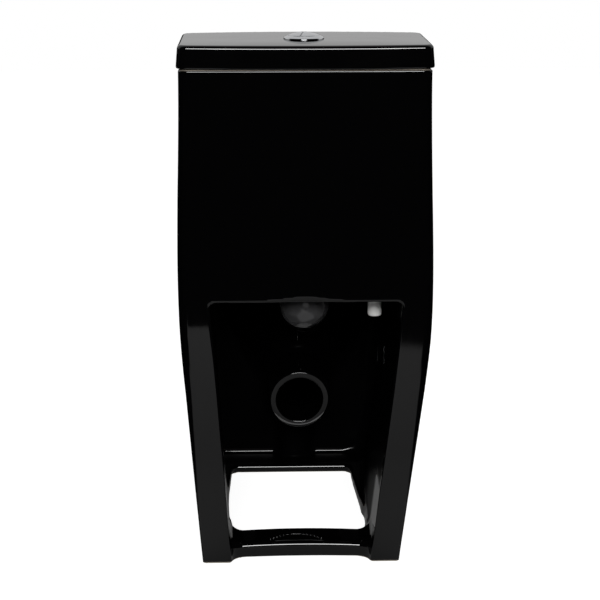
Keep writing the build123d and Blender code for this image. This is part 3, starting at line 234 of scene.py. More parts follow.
@dataclass
class FormMesher:
    """Turns a form given by its distances into a closed mesh of four-sided faces."""

    form: Form
    axes: tuple[np.ndarray, np.ndarray, np.ndarray]
    spread: Callable[[np.ndarray], np.ndarray] | None = None
    settle_steps: int = 5
    least_slope: float = 0.05
    longest_step: float = 2.0
    probe: float = 0.15
    slab: int = 16

    def values(self) -> np.ndarray:
        """Samples the form on the grid, a few levels at a time.

        Returns:
            Distances at the grid's places.
        """
        xs, ys, zs = self.axes
        out = np.empty((len(xs), len(ys), len(zs)), np.float32)
        for k in range(0, len(zs), self.slab):
            x, y, z = np.meshgrid(xs, ys, zs[k : k + self.slab], indexing="ij")
            out[:, :, k : k + self.slab] = self.form(x * self.spread(z) if self.spread else x, y, z)
        return out

    def place(self, index: np.ndarray) -> np.ndarray:
        """Places of rows of grid indices; a spread widens the grid along X with the height.

        Args:
            index: Rows of three grid indices.

        Returns:
            Rows of three places.
        """
        points = np.stack([self.axes[i][index[:, i]] for i in range(3)], 1)
        if self.spread:
            points[:, 0] *= self.spread(points[:, 2])
        return points

    def slope(self, points: np.ndarray) -> np.ndarray:
        """The form's slope at points, by small steps both ways.

        Args:
            points: Rows of three places.

        Returns:
            Rows of three slopes.
        """
        rows = []
        for i in range(3):
            step = np.zeros(3)
            step[i] = self.probe
            rise = self.form(*(points + step).T) - self.form(*(points - step).T)
            rows.append(rise / (2 * self.probe))
        return np.stack(rows, 1)

    def corners(self, values: np.ndarray) -> tuple[np.ndarray, np.ndarray]:
        """Puts one point in each grid cell that the surface crosses.

        Args:
            values: The sampled form.

        Returns:
            The points, and each cell's point number.
        """
        inside = values < 0
        size = np.array(values.shape) - 1
        held = np.zeros(size, np.int8)
        for i in (0, 1):
            for j in (0, 1):
                for k in (0, 1):
                    held += inside[i : size[0] + i, j : size[1] + j, k : size[2] + k]
        crossed = (held > 0) & (held < 8)
        cells = np.argwhere(crossed)
        numbers = np.full(crossed.shape, -1, np.int32)
        numbers[crossed] = np.arange(len(cells))
        total = np.zeros((len(cells), 3))
        hits = np.zeros(len(cells))
        for axis in range(3):
            for a in (0, 1):
                for b in (0, 1):
                    low = cells.copy()
                    low[:, (axis + 1) % 3] += a
                    low[:, (axis + 2) % 3] += b
                    high = low.copy()
                    high[:, axis] += 1
                    va = values[tuple(low.T)].astype(float)
                    vb = values[tuple(high.T)].astype(float)
                    over = (va < 0) != (vb < 0)
                    share = (va[over] / (va[over] - vb[over]))[:, None]
                    pa = self.place(low[over])
                    total[over] += pa + share * (self.place(high[over]) - pa)
                    hits[over] += 1
        return total / hits[:, None], numbers

    def quads(self, values: np.ndarray, numbers: np.ndarray) -> np.ndarray:
        """Joins the points of the four cells round each crossed grid edge.

        Args:
            values: The sampled form.
            numbers: Each cell's point number.

        Returns:
            Rows of four point numbers, facing outwards.
        """
        inside = values < 0
        rows = []
        for axis in range(3):
            first, second = (axis + 1) % 3, (axis + 2) % 3
            low = np.take(inside, range(values.shape[axis] - 1), axis)
            high = np.take(inside, range(1, values.shape[axis]), axis)
            edges = np.argwhere(low != high)
            ring = []
            for da, db in ((-1, -1), (0, -1), (0, 0), (-1, 0)):
                cell = edges.copy()
                cell[:, first] += da
                cell[:, second] += db
                ring.append(numbers[tuple(cell.T)])
            quad = np.stack(ring, 1)
            turned = ~low[tuple(edges.T)]
            quad[turned] = quad[turned][:, ::-1]
            rows.append(quad)
        return np.concatenate(rows)

    def build(self, name: str) -> bpy.types.Object:
        """Makes the mesh object, with each point settled on the form and its slope as the normal.

        Args:
            name: The object's name.

        Returns:
            The new object, at the origin, in metres.
        """
        values = self.values()
        points, numbers = self.corners(values)
        faces = self.quads(values, numbers)
        for _ in range(self.settle_steps):
            slope = self.slope(points)
            steep = np.maximum((slope * slope).sum(1), self.least_slope)
            step = np.clip(self.form(*points.T) / steep, -self.longest_step, self.longest_step)
            points = points - slope * step[:, None]
        slope = self.slope(points)
        normals = slope / np.maximum(np.linalg.norm(slope, axis=1), 1e-6)[:, None]
        mesh = bpy.data.meshes.new(name)
        mesh.from_pydata((points * MM).tolist(), [], faces.tolist())
        mesh.shade_smooth()
        mesh.normals_split_custom_set_from_vertices(normals.tolist())
        return linked(name, mesh)


# Finishes
class Slot(Enum):
    """Material slots of the record."""

    GLAZE = "black_glaze"
    SEAT = "black_seat"
    CHROME = "chrome"
    WHITE = "white_plastic"
    GREY = "grey_plastic"
    BLUE = "blue_plastic"
    IVORY = "ivory_plastic"
    RUBBER = "black_rubber"
    PAD = "clear_pad"
    BRASS = "brass"
    STEEL = "steel"


class Shader:
    """A small hand for building a material's nodes."""

    def __init__(self, name: str) -> None:
        """Starts an empty material with one Principled shader.

        Args:
            name: The material's name.
        """
        self.material = bpy.data.materials.new(name)
        self.material.use_nodes = True
        self.tree = self.material.node_tree
        self.tree.nodes.clear()
        self.shader = self.tree.nodes.new("ShaderNodeBsdfPrincipled")
        self.out = self.tree.nodes.new("ShaderNodeOutputMaterial")
        self.link(self.shader.outputs[0], self.out.inputs["Surface"])
        self.where = self.tree.nodes.new("ShaderNodeTexCoord").outputs["Object"]

    def link(self, source: Socket, target: Socket) -> None:
        """Joins two sockets."""
        self.tree.links.new(source, target)

    def set(self, **values: object) -> None:
        """Sets the shader's own sockets, by name with spaces as underscores."""
        for key, value in values.items():
            self.shader.inputs[key.replace("_", " ")].default_value = value

    def noise(self, scale: float, detail: float = 2.0, stretch: Point = (1.0, 1.0, 1.0)) -> Socket:
        """A noise pattern on the object's own coordinates.

        Args:
            scale: How many lumps to a metre.
            detail: How many finer layers.
            stretch: Scale along each axis.

        Returns:
            The pattern's output socket.
        """
        place = self.tree.nodes.new("ShaderNodeMapping")
        place.inputs["Scale"].default_value = stretch
        self.link(self.where, place.inputs["Vector"])
        node = self.tree.nodes.new("ShaderNodeTexNoise")
        node.inputs["Scale"].default_value = scale
        node.inputs["Detail"].default_value = detail
        self.link(place.outputs[0], node.inputs["Vector"])
        return node.outputs["Fac"]

    def height(self) -> Socket:
        """The height above the floor, in metres.

        Returns:
            The height's output socket.
        """
        node = self.tree.nodes.new("ShaderNodeSeparateXYZ")
        self.link(self.where, node.inputs[0])
        return node.outputs["Z"]

    def remap(self, source: Socket, low: float, high: float, to_low: float, to_high: float) -> Socket:
        """Spreads a range of values over another, held at its ends.

        Args:
            source: The values.
            low: Start of the range.
            high: End of the range.
            to_low: Value at the start.
            to_high: Value at the end.

        Returns:
            The new values.
        """
        node = self.tree.nodes.new("ShaderNodeMapRange")
        node.inputs["From Min"].default_value = low
        node.inputs["From Max"].default_value = high
        node.inputs["To Min"].default_value = to_low
        node.inputs["To Max"].default_value = to_high
        self.link(source, node.inputs["Value"])
        return node.outputs["Result"]

    def mottle(self, scale: float, detail: float, low: float, high: float) -> Socket:
        """A noise pattern spread between two values.

        Args:
            scale: How many lumps to a metre.
            detail: How many finer layers.
            low: Value of the low places.
            high: Value of the high places.

        Returns:
            The pattern's values.
        """
        return self.remap(self.noise(scale, detail), *NOISE_SPAN, low, high)

    def mix(self, share: Socket, first: Colour | Socket, second: Colour | Socket) -> Socket:
        """A colour between two by a share.

        Args:
            share: 0 for the first colour and 1 for the second.
            first: The first colour, or a socket that gives it.
            second: The second colour, or a socket that gives it.

        Returns:
            The mixed colour.
        """
        node = self.tree.nodes.new("ShaderNodeMix")
        node.data_type = "RGBA"
        ends = [socket for socket in node.inputs if socket.type == "RGBA"]
        for socket, colour in zip(ends, (first, second)):
            if isinstance(colour, Socket):
                self.link(colour, socket)
            else:
                socket.default_value = (*colour, 1.0)
        self.link(share, node.inputs["Factor"])
        return next(socket for socket in node.outputs if socket.type == "RGBA")

    def math(self, operation: str, a: object, b: object) -> Socket:
        """A sum of two values, each a socket or a number.

        Args:
            operation: Name of the sum.
            a: First value.
            b: Second value.

        Returns:
            The result.
        """
        node = self.tree.nodes.new("ShaderNodeMath")
        node.operation = operation
        for socket, value in zip(node.inputs, (a, b)):
            if isinstance(value, Socket):
                self.link(value, socket)
            else:
                socket.default_value = value
        return node.outputs[0]

    def bump(self, source: Socket, depth: float, strength: float = 1.0) -> None:
        """Raises the surface's shading by a pattern.

        Args:
            source: The pattern.
            depth: Height of the pattern in metres.
            strength: Share of the effect.
        """
        node = self.tree.nodes.new("ShaderNodeBump")
        node.inputs["Distance"].default_value = depth
        node.inputs["Strength"].default_value = strength
        self.link(source, node.inputs["Height"])
        normal = self.shader.inputs["Normal"]
        if normal.is_linked:
            self.link(normal.links[0].from_socket, node.inputs["Normal"])
        self.link(node.outputs[0], normal)

    def feed(self, source: Socket, name: str) -> None:
        """Links a value to one of the shader's sockets."""
        self.link(source, self.shader.inputs[name])


@dataclass(frozen=True)
class Glaze:
    """Gloss black glaze on china, bare and pale where the kiln setter wiped it off."""

    name: str = "black_glaze"
    colour: Colour = (0.0009, 0.0009, 0.001)
    clay: Colour = (0.46, 0.41, 0.34)
    clay_shade: float = 0.72
    clay_roughness: float = 0.75
    speck_scale: float = 900.0
    speck_span: tuple[float, float] = (0.35, 0.75)
    roughness: float = 0.045
    haze: tuple[float, float] = (0.7, 1.5)
    haze_scale: float = 14.0
    wave_depth: float = 0.0003
    wave_scale: float = 11.0
    wave_stretch: Point = (1.3, 1.3, 0.7)
    ripple_scale: float = 55.0
    ripple_share: float = 0.05
    bare_above: float = 9.0
    bare_below: float = 0.0012
    rim_fade: float = 0.0012
    foot_fade: float = 0.001
    dulled: bool = False
    dull_roughness: float = 0.34
    dull_level: float = 0.012
    gloss_level: float = 0.5

    def build(self) -> bpy.types.Material:
        """Makes the material.

        Returns:
            The new material.
        """
        s = Shader(self.name)
        s.set(IOR=PLAIN_IOR)
        rim = s.remap(s.height(), self.bare_above, self.bare_above + self.rim_fade, 0.0, 1.0)
        foot = s.remap(s.height(), self.bare_below, self.bare_below + self.foot_fade, 1.0, 0.0)
        bare = s.math("MAXIMUM", rim, foot)
        speck = s.remap(s.noise(self.speck_scale, 3.0), *self.speck_span, 0.0, 1.0)
        grain = s.mix(speck, self.clay, tuple(c * self.clay_shade for c in self.clay))
        s.feed(s.mix(bare, self.colour, grain), "Base Color")
        rough = s.mottle(self.haze_scale, 3.0, *(self.roughness * share for share in self.haze))
        if self.dulled:
            inner = s.tree.nodes.new("ShaderNodeAttribute")
            inner.attribute_name = INNER
            share = inner.outputs["Fac"]
            rough = s.math("MAXIMUM", rough, s.math("MULTIPLY", share, self.dull_roughness))
            s.feed(s.remap(share, 0.0, 1.0, self.gloss_level, self.dull_level), "Specular IOR Level")
        s.feed(s.math("MAXIMUM", rough, s.math("MULTIPLY", bare, self.clay_roughness)), "Roughness")
        s.bump(s.noise(self.wave_scale, 1.0, self.wave_stretch), self.wave_depth)
        s.bump(s.noise(self.ripple_scale, 1.0), self.wave_depth * self.ripple_share)
        return s.material


@dataclass(frozen=True)
class Moulded:
    """Moulded plastic or rubber with faint flow marks and fine skin texture."""

    name: str
    colour: Colour
    roughness: float = 0.35
    skin: float = 0.00002
    skin_scale: float = 1400.0
    waves: float = 0.0
    tint: float = 0.9
    wave_scale: float = 13.0
    flow_scale: float = 22.0
    haze: tuple[float, float] = (0.8, 1.25)
    haze_scale: float = 60.0

    def build(self) -> bpy.types.Material:
        """Makes the material.

        Returns:
            The new material.
        """
        s = Shader(self.name)
        s.set(IOR=PLAIN_IOR)
        flow = s.mottle(self.flow_scale, 3.0, 0.0, 1.0)
        s.feed(s.mix(flow, self.colour, tuple(c * self.tint for c in self.colour)), "Base Color")
        rough = s.mottle(self.haze_scale, 4.0, *(self.roughness * share for share in self.haze))
        s.feed(rough, "Roughness")
        if self.waves:
            s.bump(s.noise(self.wave_scale, 1.0), self.waves)
        s.bump(s.noise(self.skin_scale, 2.0), self.skin)
        return s.material


@dataclass(frozen=True)
class Metal:
    """Plated or plain metal with faint wipe marks."""

    name: str
    colour: Colour
    roughness: float = 0.08
    wipe: float = 0.000004
    wipe_scale: float = 500.0
    wipe_stretch: Point = (1.0, 6.0, 1.0)
    tint: float = 0.93
    cloud_scale: float = 90.0
    haze: tuple[float, float] = (0.6, 1.6)
    haze_scale: float = 160.0

    def build(self) -> bpy.types.Material:
        """Makes the material.

        Returns:
            The new material.
        """
        s = Shader(self.name)
        s.set(Metallic=1.0)
        cloud = s.mottle(self.cloud_scale, 3.0, 0.0, 1.0)
        s.feed(s.mix(cloud, self.colour, tuple(c * self.tint for c in self.colour)), "Base Color")
        rough = s.mottle(self.haze_scale, 4.0, *(self.roughness * share for share in self.haze))
        s.feed(rough, "Roughness")
        s.bump(s.noise(self.wipe_scale, 2.0, self.wipe_stretch), self.wipe)
        return s.material


FINISHES = {
    Slot.GLAZE: Glaze(),
    Slot.SEAT: Moulded(
        "black_seat",
        (0.006, 0.006, 0.007),
        roughness=0.09,
        skin=0.000004,
        skin_scale=900.0,
        waves=0.0002,
        tint=0.8,
    ),
    Slot.CHROME: Metal("chrome", (0.72, 0.73, 0.75), 0.06),
    Slot.WHITE: Moulded("white_plastic", (0.82, 0.82, 0.8), 0.32),
    Slot.GREY: Moulded("grey_plastic", (0.32, 0.33, 0.34), 0.4),
    Slot.BLUE: Moulded("blue_plastic", (0.03, 0.12, 0.42), 0.38),
    Slot.IVORY: Moulded("ivory_plastic", (0.7, 0.66, 0.55), 0.4),
    Slot.RUBBER: Moulded("black_rubber", (0.018, 0.018, 0.018), 0.6, 0.00004),
    Slot.PAD: Moulded("clear_pad", (0.62, 0.62, 0.6), 0.3),
    Slot.BRASS: Metal("brass", (0.62, 0.44, 0.2), 0.22),
    Slot.STEEL: Metal("steel", (0.52, 0.52, 0.53), 0.25),
}
SATIN = Moulded(
    "satin_glaze",
    (0.034, 0.034, 0.035),
    roughness=0.1,
    skin=0.00001,
    skin_scale=500.0,
    waves=0.006,
    tint=0.8,
    wave_scale=42.0,
)


def dress(piece: bpy.types.Object, material: bpy.types.Material) -> None:
    """Gives a piece one material."""
    piece.data.materials.clear()
    piece.data.materials.append(material)


# China
@dataclass
class ChinaBody:
    """Tank, skirted pan, rear recess, trap and basin as one fired casting. Sizes in millimetres."""

    # Outside
    rim: float = 415.0
    width: float = 371.0
    foot_width: float = 296.0
    side_knee: float = 354.0
    front_knee: float = 320.0
    knee_soft: float = 25.0
    front: float = -325.0
    foot_setback: float = 78.0
    back: float = 337.0
    back_corner: float = 14.0
    foot_corner: float = 3.0
    edge: float = 11.0
    floor_edge: float = 1.2
    # Tank
    tank_top: float = 740.5
    tank_taper: float = 7.0
    tank_front: float = 153.0
    tank_bow: float = 20.0
    tank_wall: float = 12.0
    tank_inner_corner: float = 10.0
    tank_inner_floor: float = 16.0
    tank_rim_round: float = 3.0
    rim_sag: float = 0.2
    deck_hollow: float = 28.0
    # Rear recess
    opening_top: float = 405.0
    opening_half_top: float = 140.5
    opening_half_foot: float = 105.0
    opening_corner: float = 9.0
    opening_edge: float = 3.5
    edge_swell: float = 6.0
    bulkhead: float = -106.0
    recess_corner: tuple[float, float] = (8.0, 24.0)
    recess_flare: float = 0.018
    recess_bow: float = 0.00007
    recess_roof_round: float = 12.0
    deck_under: float = 375.0
    deck_step_round: float = 8.0
    # Pocket under the tank floor
    band_front: float = 322.0
    pocket_half: float = 135.5
    pocket_corner: float = 10.0
    pocket_roof_round: float = 6.0
    pocket_low: float = 375.0
    # Ledge and rail at the floor
    ledge_front: float = -41.0
    ledge_height: float = 14.0
    ledge_edge: float = 6.0
    ledge_tuck: float = 12.0
    fold: float = 4.0
    curl: float = 18.0
    curl_start: float = 85.0
    curl_run: float = 40.0
    frame_reach: float = 36.0
    frame_root: float = 10.0
    rail_front: float = 259.0
    rail_back: float = 318.0
    rail_height: float = 25.0
    rail_round: float = 7.0
    rail_root: float = 5.0
    rail_arch: float = 2.0
    rail_arch_edge: float = 2.0
    rail_fall: float = 3.5
    rail_hollow: float = 22.0
    rail_hollow_run: float = 40.0
    # Gap between ledge and rail
    gap_left: float = 113.7
    gap_left_draw: float = 0.032
    gap_left_end: float = 115.0
    gap_right: float = 95.8
    gap_right_draw: float = 0.055
    hook: float = 8.0
    hook_span: tuple[float, float] = (143.0, 177.0)
    gap_corner: float = 24.0
    gap_corner_far: float = 12.0
    # Trap and waste pipe, corners as Y and Z
    trap_corners: tuple[tuple[float, float], ...] = (
        (-168.0, 152.0),
        (-100.0, 97.0),
        (-15.0, 180.0),
        (140.0, 180.0),
    )
    trap_bends: tuple[float, float] = (58.0, 70.0)
    trap_foot: float = 27.0
    trap_foot_height: float = 130.0
    trap_foot_fillet: float = 12.0
    pipe_flare: float = 30.0
    pipe_fillet: float = 14.0
    pipe_edge: float = 3.0
    pipe_root: float = 20.0
    pipe_overlap: float = 40.0
    pipe_clear: float = 0.25
    spigot: float = 47.8
    bore: float = 37.5
    bore_edge: float = 3.0
    spigot_end: float = 105.0
    # Flush way and inlet
    elbow: float = 37.0
    elbow_bore: float = 27.0
    elbow_height: float = 377.0
    valve_y: float = 245.0
    inlet_x: float = -107.0
    inlet_hole: float = 11.4
    inlet_low: float = 380.0
    # Basin, levels and widths as shares
    basin_floor: float = 112.0
    basin_half: tuple[float, float] = (140.0, 155.0)
    basin_centre: float = -136.0
    basin_shift: float = -20.0
    basin_foot_round: float = 24.0
    basin_edge: float = 14.0
    basin_levels: tuple[float, ...] = (0.0, 0.2, 0.47, 0.75, 1.0, 1.2)
    basin_shares: tuple[float, ...] = (0.28, 0.48, 0.72, 0.94, 1.0, 1.0)
    basin_skin: float = 12.0
    basin_skin_top: float = 10.0
    basin_skin_round: float = 8.0
    # Thin dull glaze, each a start and a run
    dull_back: tuple[float, float] = (331.0, -4.0)
    dull_low: tuple[float, float] = (108.0, 10.0)
    dull_deep: tuple[float, float] = (262.0, -25.0)
    dull_foot: tuple[float, float] = (18.0, 3.0)
    dull_ledge: tuple[float, float, float] = (7.0, 9.0, 3.0)
    dull_reach: float = 1.0
    # Sideways creep by height
    creep_levels: tuple[float, ...] = (0.0, 20.0, 103.0, 185.0, 265.0, 345.0, 400.0, 560.0)
    creep_moves: tuple[float, ...] = (6.3, 6.0, 4.1, 2.0, 0.0, -1.0, -1.0, 0.0)
    # Grid stops, X as a share of the opening's half width
    grid_x: Stops = ((0.0, 0.042), (0.94, 0.0125), (1.06, 0.045), (1.28, 0.02), (1.46, 0.0))
    grid_y: Stops = (
        (-332.0, 7.0),
        (-130.0, 5.0),
        (-114.0, 2.5),
        (-92.0, 5.0),
        (250.0, 3.0),
        (316.0, 1.5),
        (344.0, 0.0),
    )
    grid_z: Stops = ((-5.0, 2.4), (28.0, 6.0), (366.0, 2.0), (420.0, 8.0), (728.0, 1.5), (746.0, 0.0))

    def ramp(self, z: np.ndarray, knee: float) -> np.ndarray:
        """1 on the floor, falling to a soft knee and 0 above it."""
        fall = np.logaddexp(0.0, (knee - z) / self.knee_soft)
        return fall / np.logaddexp(0.0, knee / self.knee_soft)

    def half_width(self, z: np.ndarray) -> np.ndarray:
        """Half of the outside width at a height.

        Args:
            z: Places along Z.

        Returns:
            Half widths.
        """
        skirt = self.width / 2 - (self.width - self.foot_width) / 2 * self.ramp(z, self.side_knee)
        up = np.clip((z - self.rim) / (self.tank_top - self.rim), 0.0, 1.0)
        return skirt - self.tank_taper * up * up * (3 - 2 * up)

    def tank_face(self, x: np.ndarray, y: np.ndarray) -> np.ndarray:
        """Distance to the tank's bowed front.

        Args:
            x: Places along X.
            y: Places along Y.

        Returns:
            Distances in plan, below 0 behind the front.
        """
        radius = arc_radius(self.width / 2, self.tank_bow)
        centre = self.tank_front - self.tank_bow + radius
        return np.sqrt(x * x + (y - centre) ** 2) - radius

    def outside(self, x: np.ndarray, y: np.ndarray, z: np.ndarray) -> tuple[np.ndarray, np.ndarray]:
        """The outer skin.

        Args:
            x: Places along X.
            y: Places along Y.
            z: Places along Z.

        Returns:
            Distances to the solid with its tank still closed, and to the plan outline at that height.
        """
        front = self.front + self.foot_setback * self.ramp(z, self.front_knee)
        corner = np.interp(z, (0.0, self.rim), (self.foot_corner, self.back_corner))
        plan = d_outline(x, y, self.half_width(z), self.back, front, corner)
        step = join(z - self.rim, self.tank_face(x, y), self.deck_hollow)
        solid = meet(plan, step, self.edge)
        sag = self.rim_sag * np.clip(1 - (2 * x / self.width) ** 2, 0, 1) * (y > self.valve_y)
        return meet(solid, z - self.tank_top + sag, self.tank_rim_round), plan

    def recess(self, x: np.ndarray, y: np.ndarray, z: np.ndarray) -> np.ndarray:
        """The rear service opening back to its bulkhead, with the step up under the tank floor.

        Args:
            x: Places along X.
            y: Places along Y.
            z: Places along Z.

        Returns:
            Distances, below 0 inside.
        """
        lean = (self.opening_half_top - self.opening_half_foot) / self.opening_top
        deep = np.maximum(self.back - y, 0.0)
        flare = self.recess_flare * deep + self.recess_bow * deep * deep
        side = (np.abs(x) - self.opening_half_foot - lean * z - flare) / math.hypot(1.0, lean)
        gate = meet(side, z - self.opening_top, self.opening_corner)
        hollow = meet(gate, self.bulkhead - y, np.where(x > 0, *self.recess_corner))
        under = join(z - self.deck_under, self.tank_front - y, self.deck_step_round)
        hollow = meet(hollow, under, self.recess_roof_round)
        across = np.abs(x) - self.pocket_half
        middle = (self.tank_front + self.band_front) / 2
        along = np.abs(y - middle) - (self.band_front - self.tank_front) / 2
        pocket = meet(meet(across, along, self.pocket_corner), z - self.rim, self.pocket_roof_round)
        return np.minimum(hollow, np.maximum(pocket, self.pocket_low - z))

    def gap_half(self, x: np.ndarray, y: np.ndarray) -> np.ndarray:
        """Half width of the gap in the floor frame, trimmed by hand and uneven from side to side.

        Args:
            x: Places along X.
            y: Places along Y.

        Returns:
            Half widths.
        """
        left = self.gap_left - self.gap_left_draw * np.maximum(self.gap_left_end - y, 0.0)
        start, end = self.hook_span
        turn = np.clip((y - start) / (end - start), 0.0, 1.0)
        right = self.gap_right + self.gap_right_draw * np.clip(y, 0.0, start)
        right = right + self.hook * turn * turn * (3 - 2 * turn)
        return np.where(x > 0, left, right)

    def floor_frame(self, x: np.ndarray, y: np.ndarray, z: np.ndarray) -> np.ndarray:
        """The rail across the feet and the ledge, with the round-cornered gap between them.

        Args:
            x: Places along X.
            y: Places along Y.
            z: Places along Z.

        Returns:
            Distances, below 0 inside.
        """
        half = self.opening_half_foot + self.frame_reach
        middle = (self.ledge_front + self.rail_front) / 2
        reach = (self.rail_front - self.ledge_front) / 2
        corner = np.where(y > middle, self.gap_corner, self.gap_corner_far)
        qx = np.abs(x) - self.gap_half(x, y) + corner
        qy = np.abs(y - middle) - reach + corner
        gap = np.sqrt(np.maximum(qx, 0) ** 2 + np.maximum(qy, 0) ** 2) + np.minimum(np.maximum(qx, qy), 0)
        plate = meet(z - self.ledge_height, corner - gap, self.ledge_edge)
        plate = np.maximum(plate, y - self.rail_front - self.ledge_tuck)
        rail_y = np.abs(y - (self.rail_front + self.rail_back) / 2) - (self.rail_back - self.rail_front) / 2
        top = self.rail_height - self.rail_fall * (x / self.opening_half_foot) ** 2
        rail = meet(rail_y, z - top, self.rail_round)
        both = join(plate, rail, self.rail_root)
        radius = arc_radius(self.opening_half_foot, self.rail_arch)
        arch = np.sqrt(x * x + (z - self.rail_arch + radius) ** 2) - radius
        both = cut(both, np.maximum(arch, self.rail_front - y), self.rail_arch_edge)
        return np.maximum(np.maximum(both, np.abs(x) - half), self.bulkhead - self.frame_root - y)

    def trap_line(self, x: np.ndarray, y: np.ndarray, z: np.ndarray) -> np.ndarray:
        """Distance to the trap's middle line: three straight runs and two bends in the middle plane.

        Args:
            x: Places along X.
            y: Places along Y.
            z: Places along Z.

        Returns:
            Distances to the line.
        """
        corners = self.trap_corners
        start = np.array(corners[0])
        best = np.full(np.shape(y), np.inf)
        for i, radius in enumerate(self.trap_bends):
            here = np.array(corners[i + 1])
            before = np.array(corners[i]) - here
            after = np.array(corners[i + 2]) - here
            before = before / np.linalg.norm(before)
            after = after / np.linalg.norm(after)
            half_angle = math.acos(float(np.clip(before @ after, -1, 1))) / 2
            reach = radius / math.tan(half_angle)
            first = here + before * reach
            last = here + after * reach
            middle = (before + after) / np.linalg.norm(before + after)
            centre = here + middle * radius / math.sin(half_angle)
            best = np.minimum(best, rod(x, y, z, (0, *start), (0, *first)))
            py, pz = y - centre[0], z - centre[1]
            spread = math.cos(math.pi / 2 - half_angle)
            far = np.sqrt(py * py + pz * pz)
            facing = -(py * middle[0] + pz * middle[1]) >= spread * far
            bend = np.sqrt(x * x + (far - radius) ** 2)
            best = np.where(facing, np.minimum(best, bend), best)
            start = last
        return np.minimum(best, rod(x, y, z, (0, *start), (0, *corners[-1])))

    def basin(self, x: np.ndarray, y: np.ndarray, z: np.ndarray) -> np.ndarray:
        """The hollow of the bowl.

        Args:
            x: Places along X.
            y: Places along Y.
            z: Places along Z.

        Returns:
            Distances, below 0 inside.
        """
        level = np.clip((z - self.basin_floor) / (self.rim - self.basin_floor), 0.0, self.basin_levels[-1])
        share = np.interp(level, self.basin_levels, self.basin_shares)
        a = self.basin_half[0] * share
        b = self.basin_half[1] * share
        ey = y - self.basin_centre - self.basin_shift * (1 - level)
        return meet(oval(x, ey, a, b), self.basin_floor - z, self.basin_foot_round)

    def form(self, x: np.ndarray, y: np.ndarray, z: np.ndarray) -> np.ndarray:
        """The whole casting.

        Args:
            x: Places along X.
            y: Places along Y.
            z: Places along Z.

        Returns:
            Distances, below 0 inside.
        """
        solid, plan = self.outside(x, y, z)
        swell = self.edge_swell * np.exp(-((x / self.elbow) ** 2)) * (z > self.deck_under)
        solid = cut(solid, self.recess(x, y, z), self.opening_edge + swell)
        basin = self.basin(x, y, z)
        skin_top = z - self.deck_under - self.basin_skin_top
        skin = meet(basin - self.basin_skin, skin_top, self.basin_skin_round)
        line = self.trap_line(x, y, z)
        pipe_end = y - self.spigot_end + self.pipe_overlap
        pipe = meet(line - self.spigot + self.pipe_clear, pipe_end, self.pipe_edge)
        pipe = np.maximum(pipe, self.bulkhead - self.pipe_root - y)
        solid = join(solid, join(skin, pipe, self.pipe_flare), self.pipe_fillet)
        foot = rod(x, y, z, (0.0, self.bulkhead, 0.0), (0.0, self.bulkhead, self.trap_foot_height))
        solid = join(solid, foot - self.trap_foot, self.trap_foot_fillet)
        fold = self.fold + self.curl * np.clip((-x - self.curl_start) / self.curl_run, 0.0, 1.0)
        hollow = np.where(y > self.rail_front - self.rail_hollow_run, self.rail_hollow, fold)
        solid = np.maximum(join(solid, self.floor_frame(x, y, z), hollow), plan)
        inner = meet(plan + self.tank_wall, self.tank_face(x, y) + self.tank_wall, self.tank_inner_corner)
        inner = meet(inner, self.rim + self.tank_wall - z, self.tank_inner_floor)
        solid = cut(solid, inner, self.tank_rim_round)
        solid = cut(solid, basin, self.basin_edge)
        solid = cut(solid, line - self.bore - self.pipe_clear, self.bore_edge)
        drop = np.sqrt(x * x + (y - self.valve_y) ** 2) - self.elbow_bore
        solid = np.maximum(solid, -np.maximum(drop, self.elbow_height - z))
        run = np.sqrt(x * x + (z - self.elbow_height) ** 2) - self.elbow_bore
        reach = np.maximum(self.basin_centre - y, y - self.valve_y)
        solid = np.maximum(solid, -np.maximum(run, reach))
        inlet = np.sqrt((x - self.inlet_x) ** 2 + (y - self.valve_y) ** 2) - self.inlet_hole
        solid = np.maximum(solid, -np.maximum(inlet, self.inlet_low - z))
        return meet(solid, -z, self.floor_edge)

    def spread(self, z: np.ndarray) -> np.ndarray:
        """Half width of the rear opening at a height, which the grid follows."""
        share = np.clip(z / self.opening_top, 0.0, 1.0)
        return self.opening_half_foot + (self.opening_half_top - self.opening_half_foot) * share

    def drift(self, z: np.ndarray) -> np.ndarray:
        """How far the casting has crept sideways in the kiln, most at the feet."""
        return np.interp(z, self.creep_levels, self.creep_moves)

    def settle(self, piece: bpy.types.Object) -> None:
        """Moves a china piece sideways with the casting's drift.

        Args:
            piece: A piece meshed without the drift, in metres.
        """
        points = np.empty(len(piece.data.vertices) * 3)
        piece.data.vertices.foreach_get("co", points)
        points[0::3] += self.drift(points[2::3] / MM) * MM
        piece.data.vertices.foreach_set("co", points)
        piece.data.update()

    def mark_inner(self, mesh: bpy.types.Mesh) -> None:
        """Marks the thinly glazed skin deep in the recess.

        Args:
            mesh: The casting's mesh, in metres.
        """
        points = np.empty(len(mesh.vertices) * 3)
        mesh.vertices.foreach_get("co", points)
        x, y, z = points.reshape(-1, 3).T / MM
        above = fade(y, *self.dull_back) * fade(z, *self.dull_low)
        deep = np.maximum(fade(y, *self.dull_deep), above) * fade(z, *self.dull_foot)
        start, end, run = self.dull_ledge
        flat = fade(y, self.bulkhead + start, run) * fade(y, self.ledge_front - end, -run)
        marks = mesh.attributes.new(INNER, "FLOAT", "POINT")
        near = self.recess(x, y, z) < self.dull_reach
        marks.data.foreach_set("value", np.where(near, np.maximum(deep, flat), 0.0))

    def build(self) -> bpy.types.Object:
        """Meshes the casting and dresses it.

        Returns:
            The new piece.
        """
        half = graded(*self.grid_x)
        xs = np.concatenate([-half[:0:-1], half])
        grid = (xs, graded(*self.grid_y), graded(*self.grid_z))
        body = FormMesher(self.form, grid, self.spread).build("china_body")
        self.mark_inner(body.data)
        self.settle(body)
        dress(body, Glaze("black_glaze_body", bare_above=0.7392, dulled=True).build())
        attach(body, "china")
        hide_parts("tank_shell", "pedestal", "bowl", "trapway")
        return body


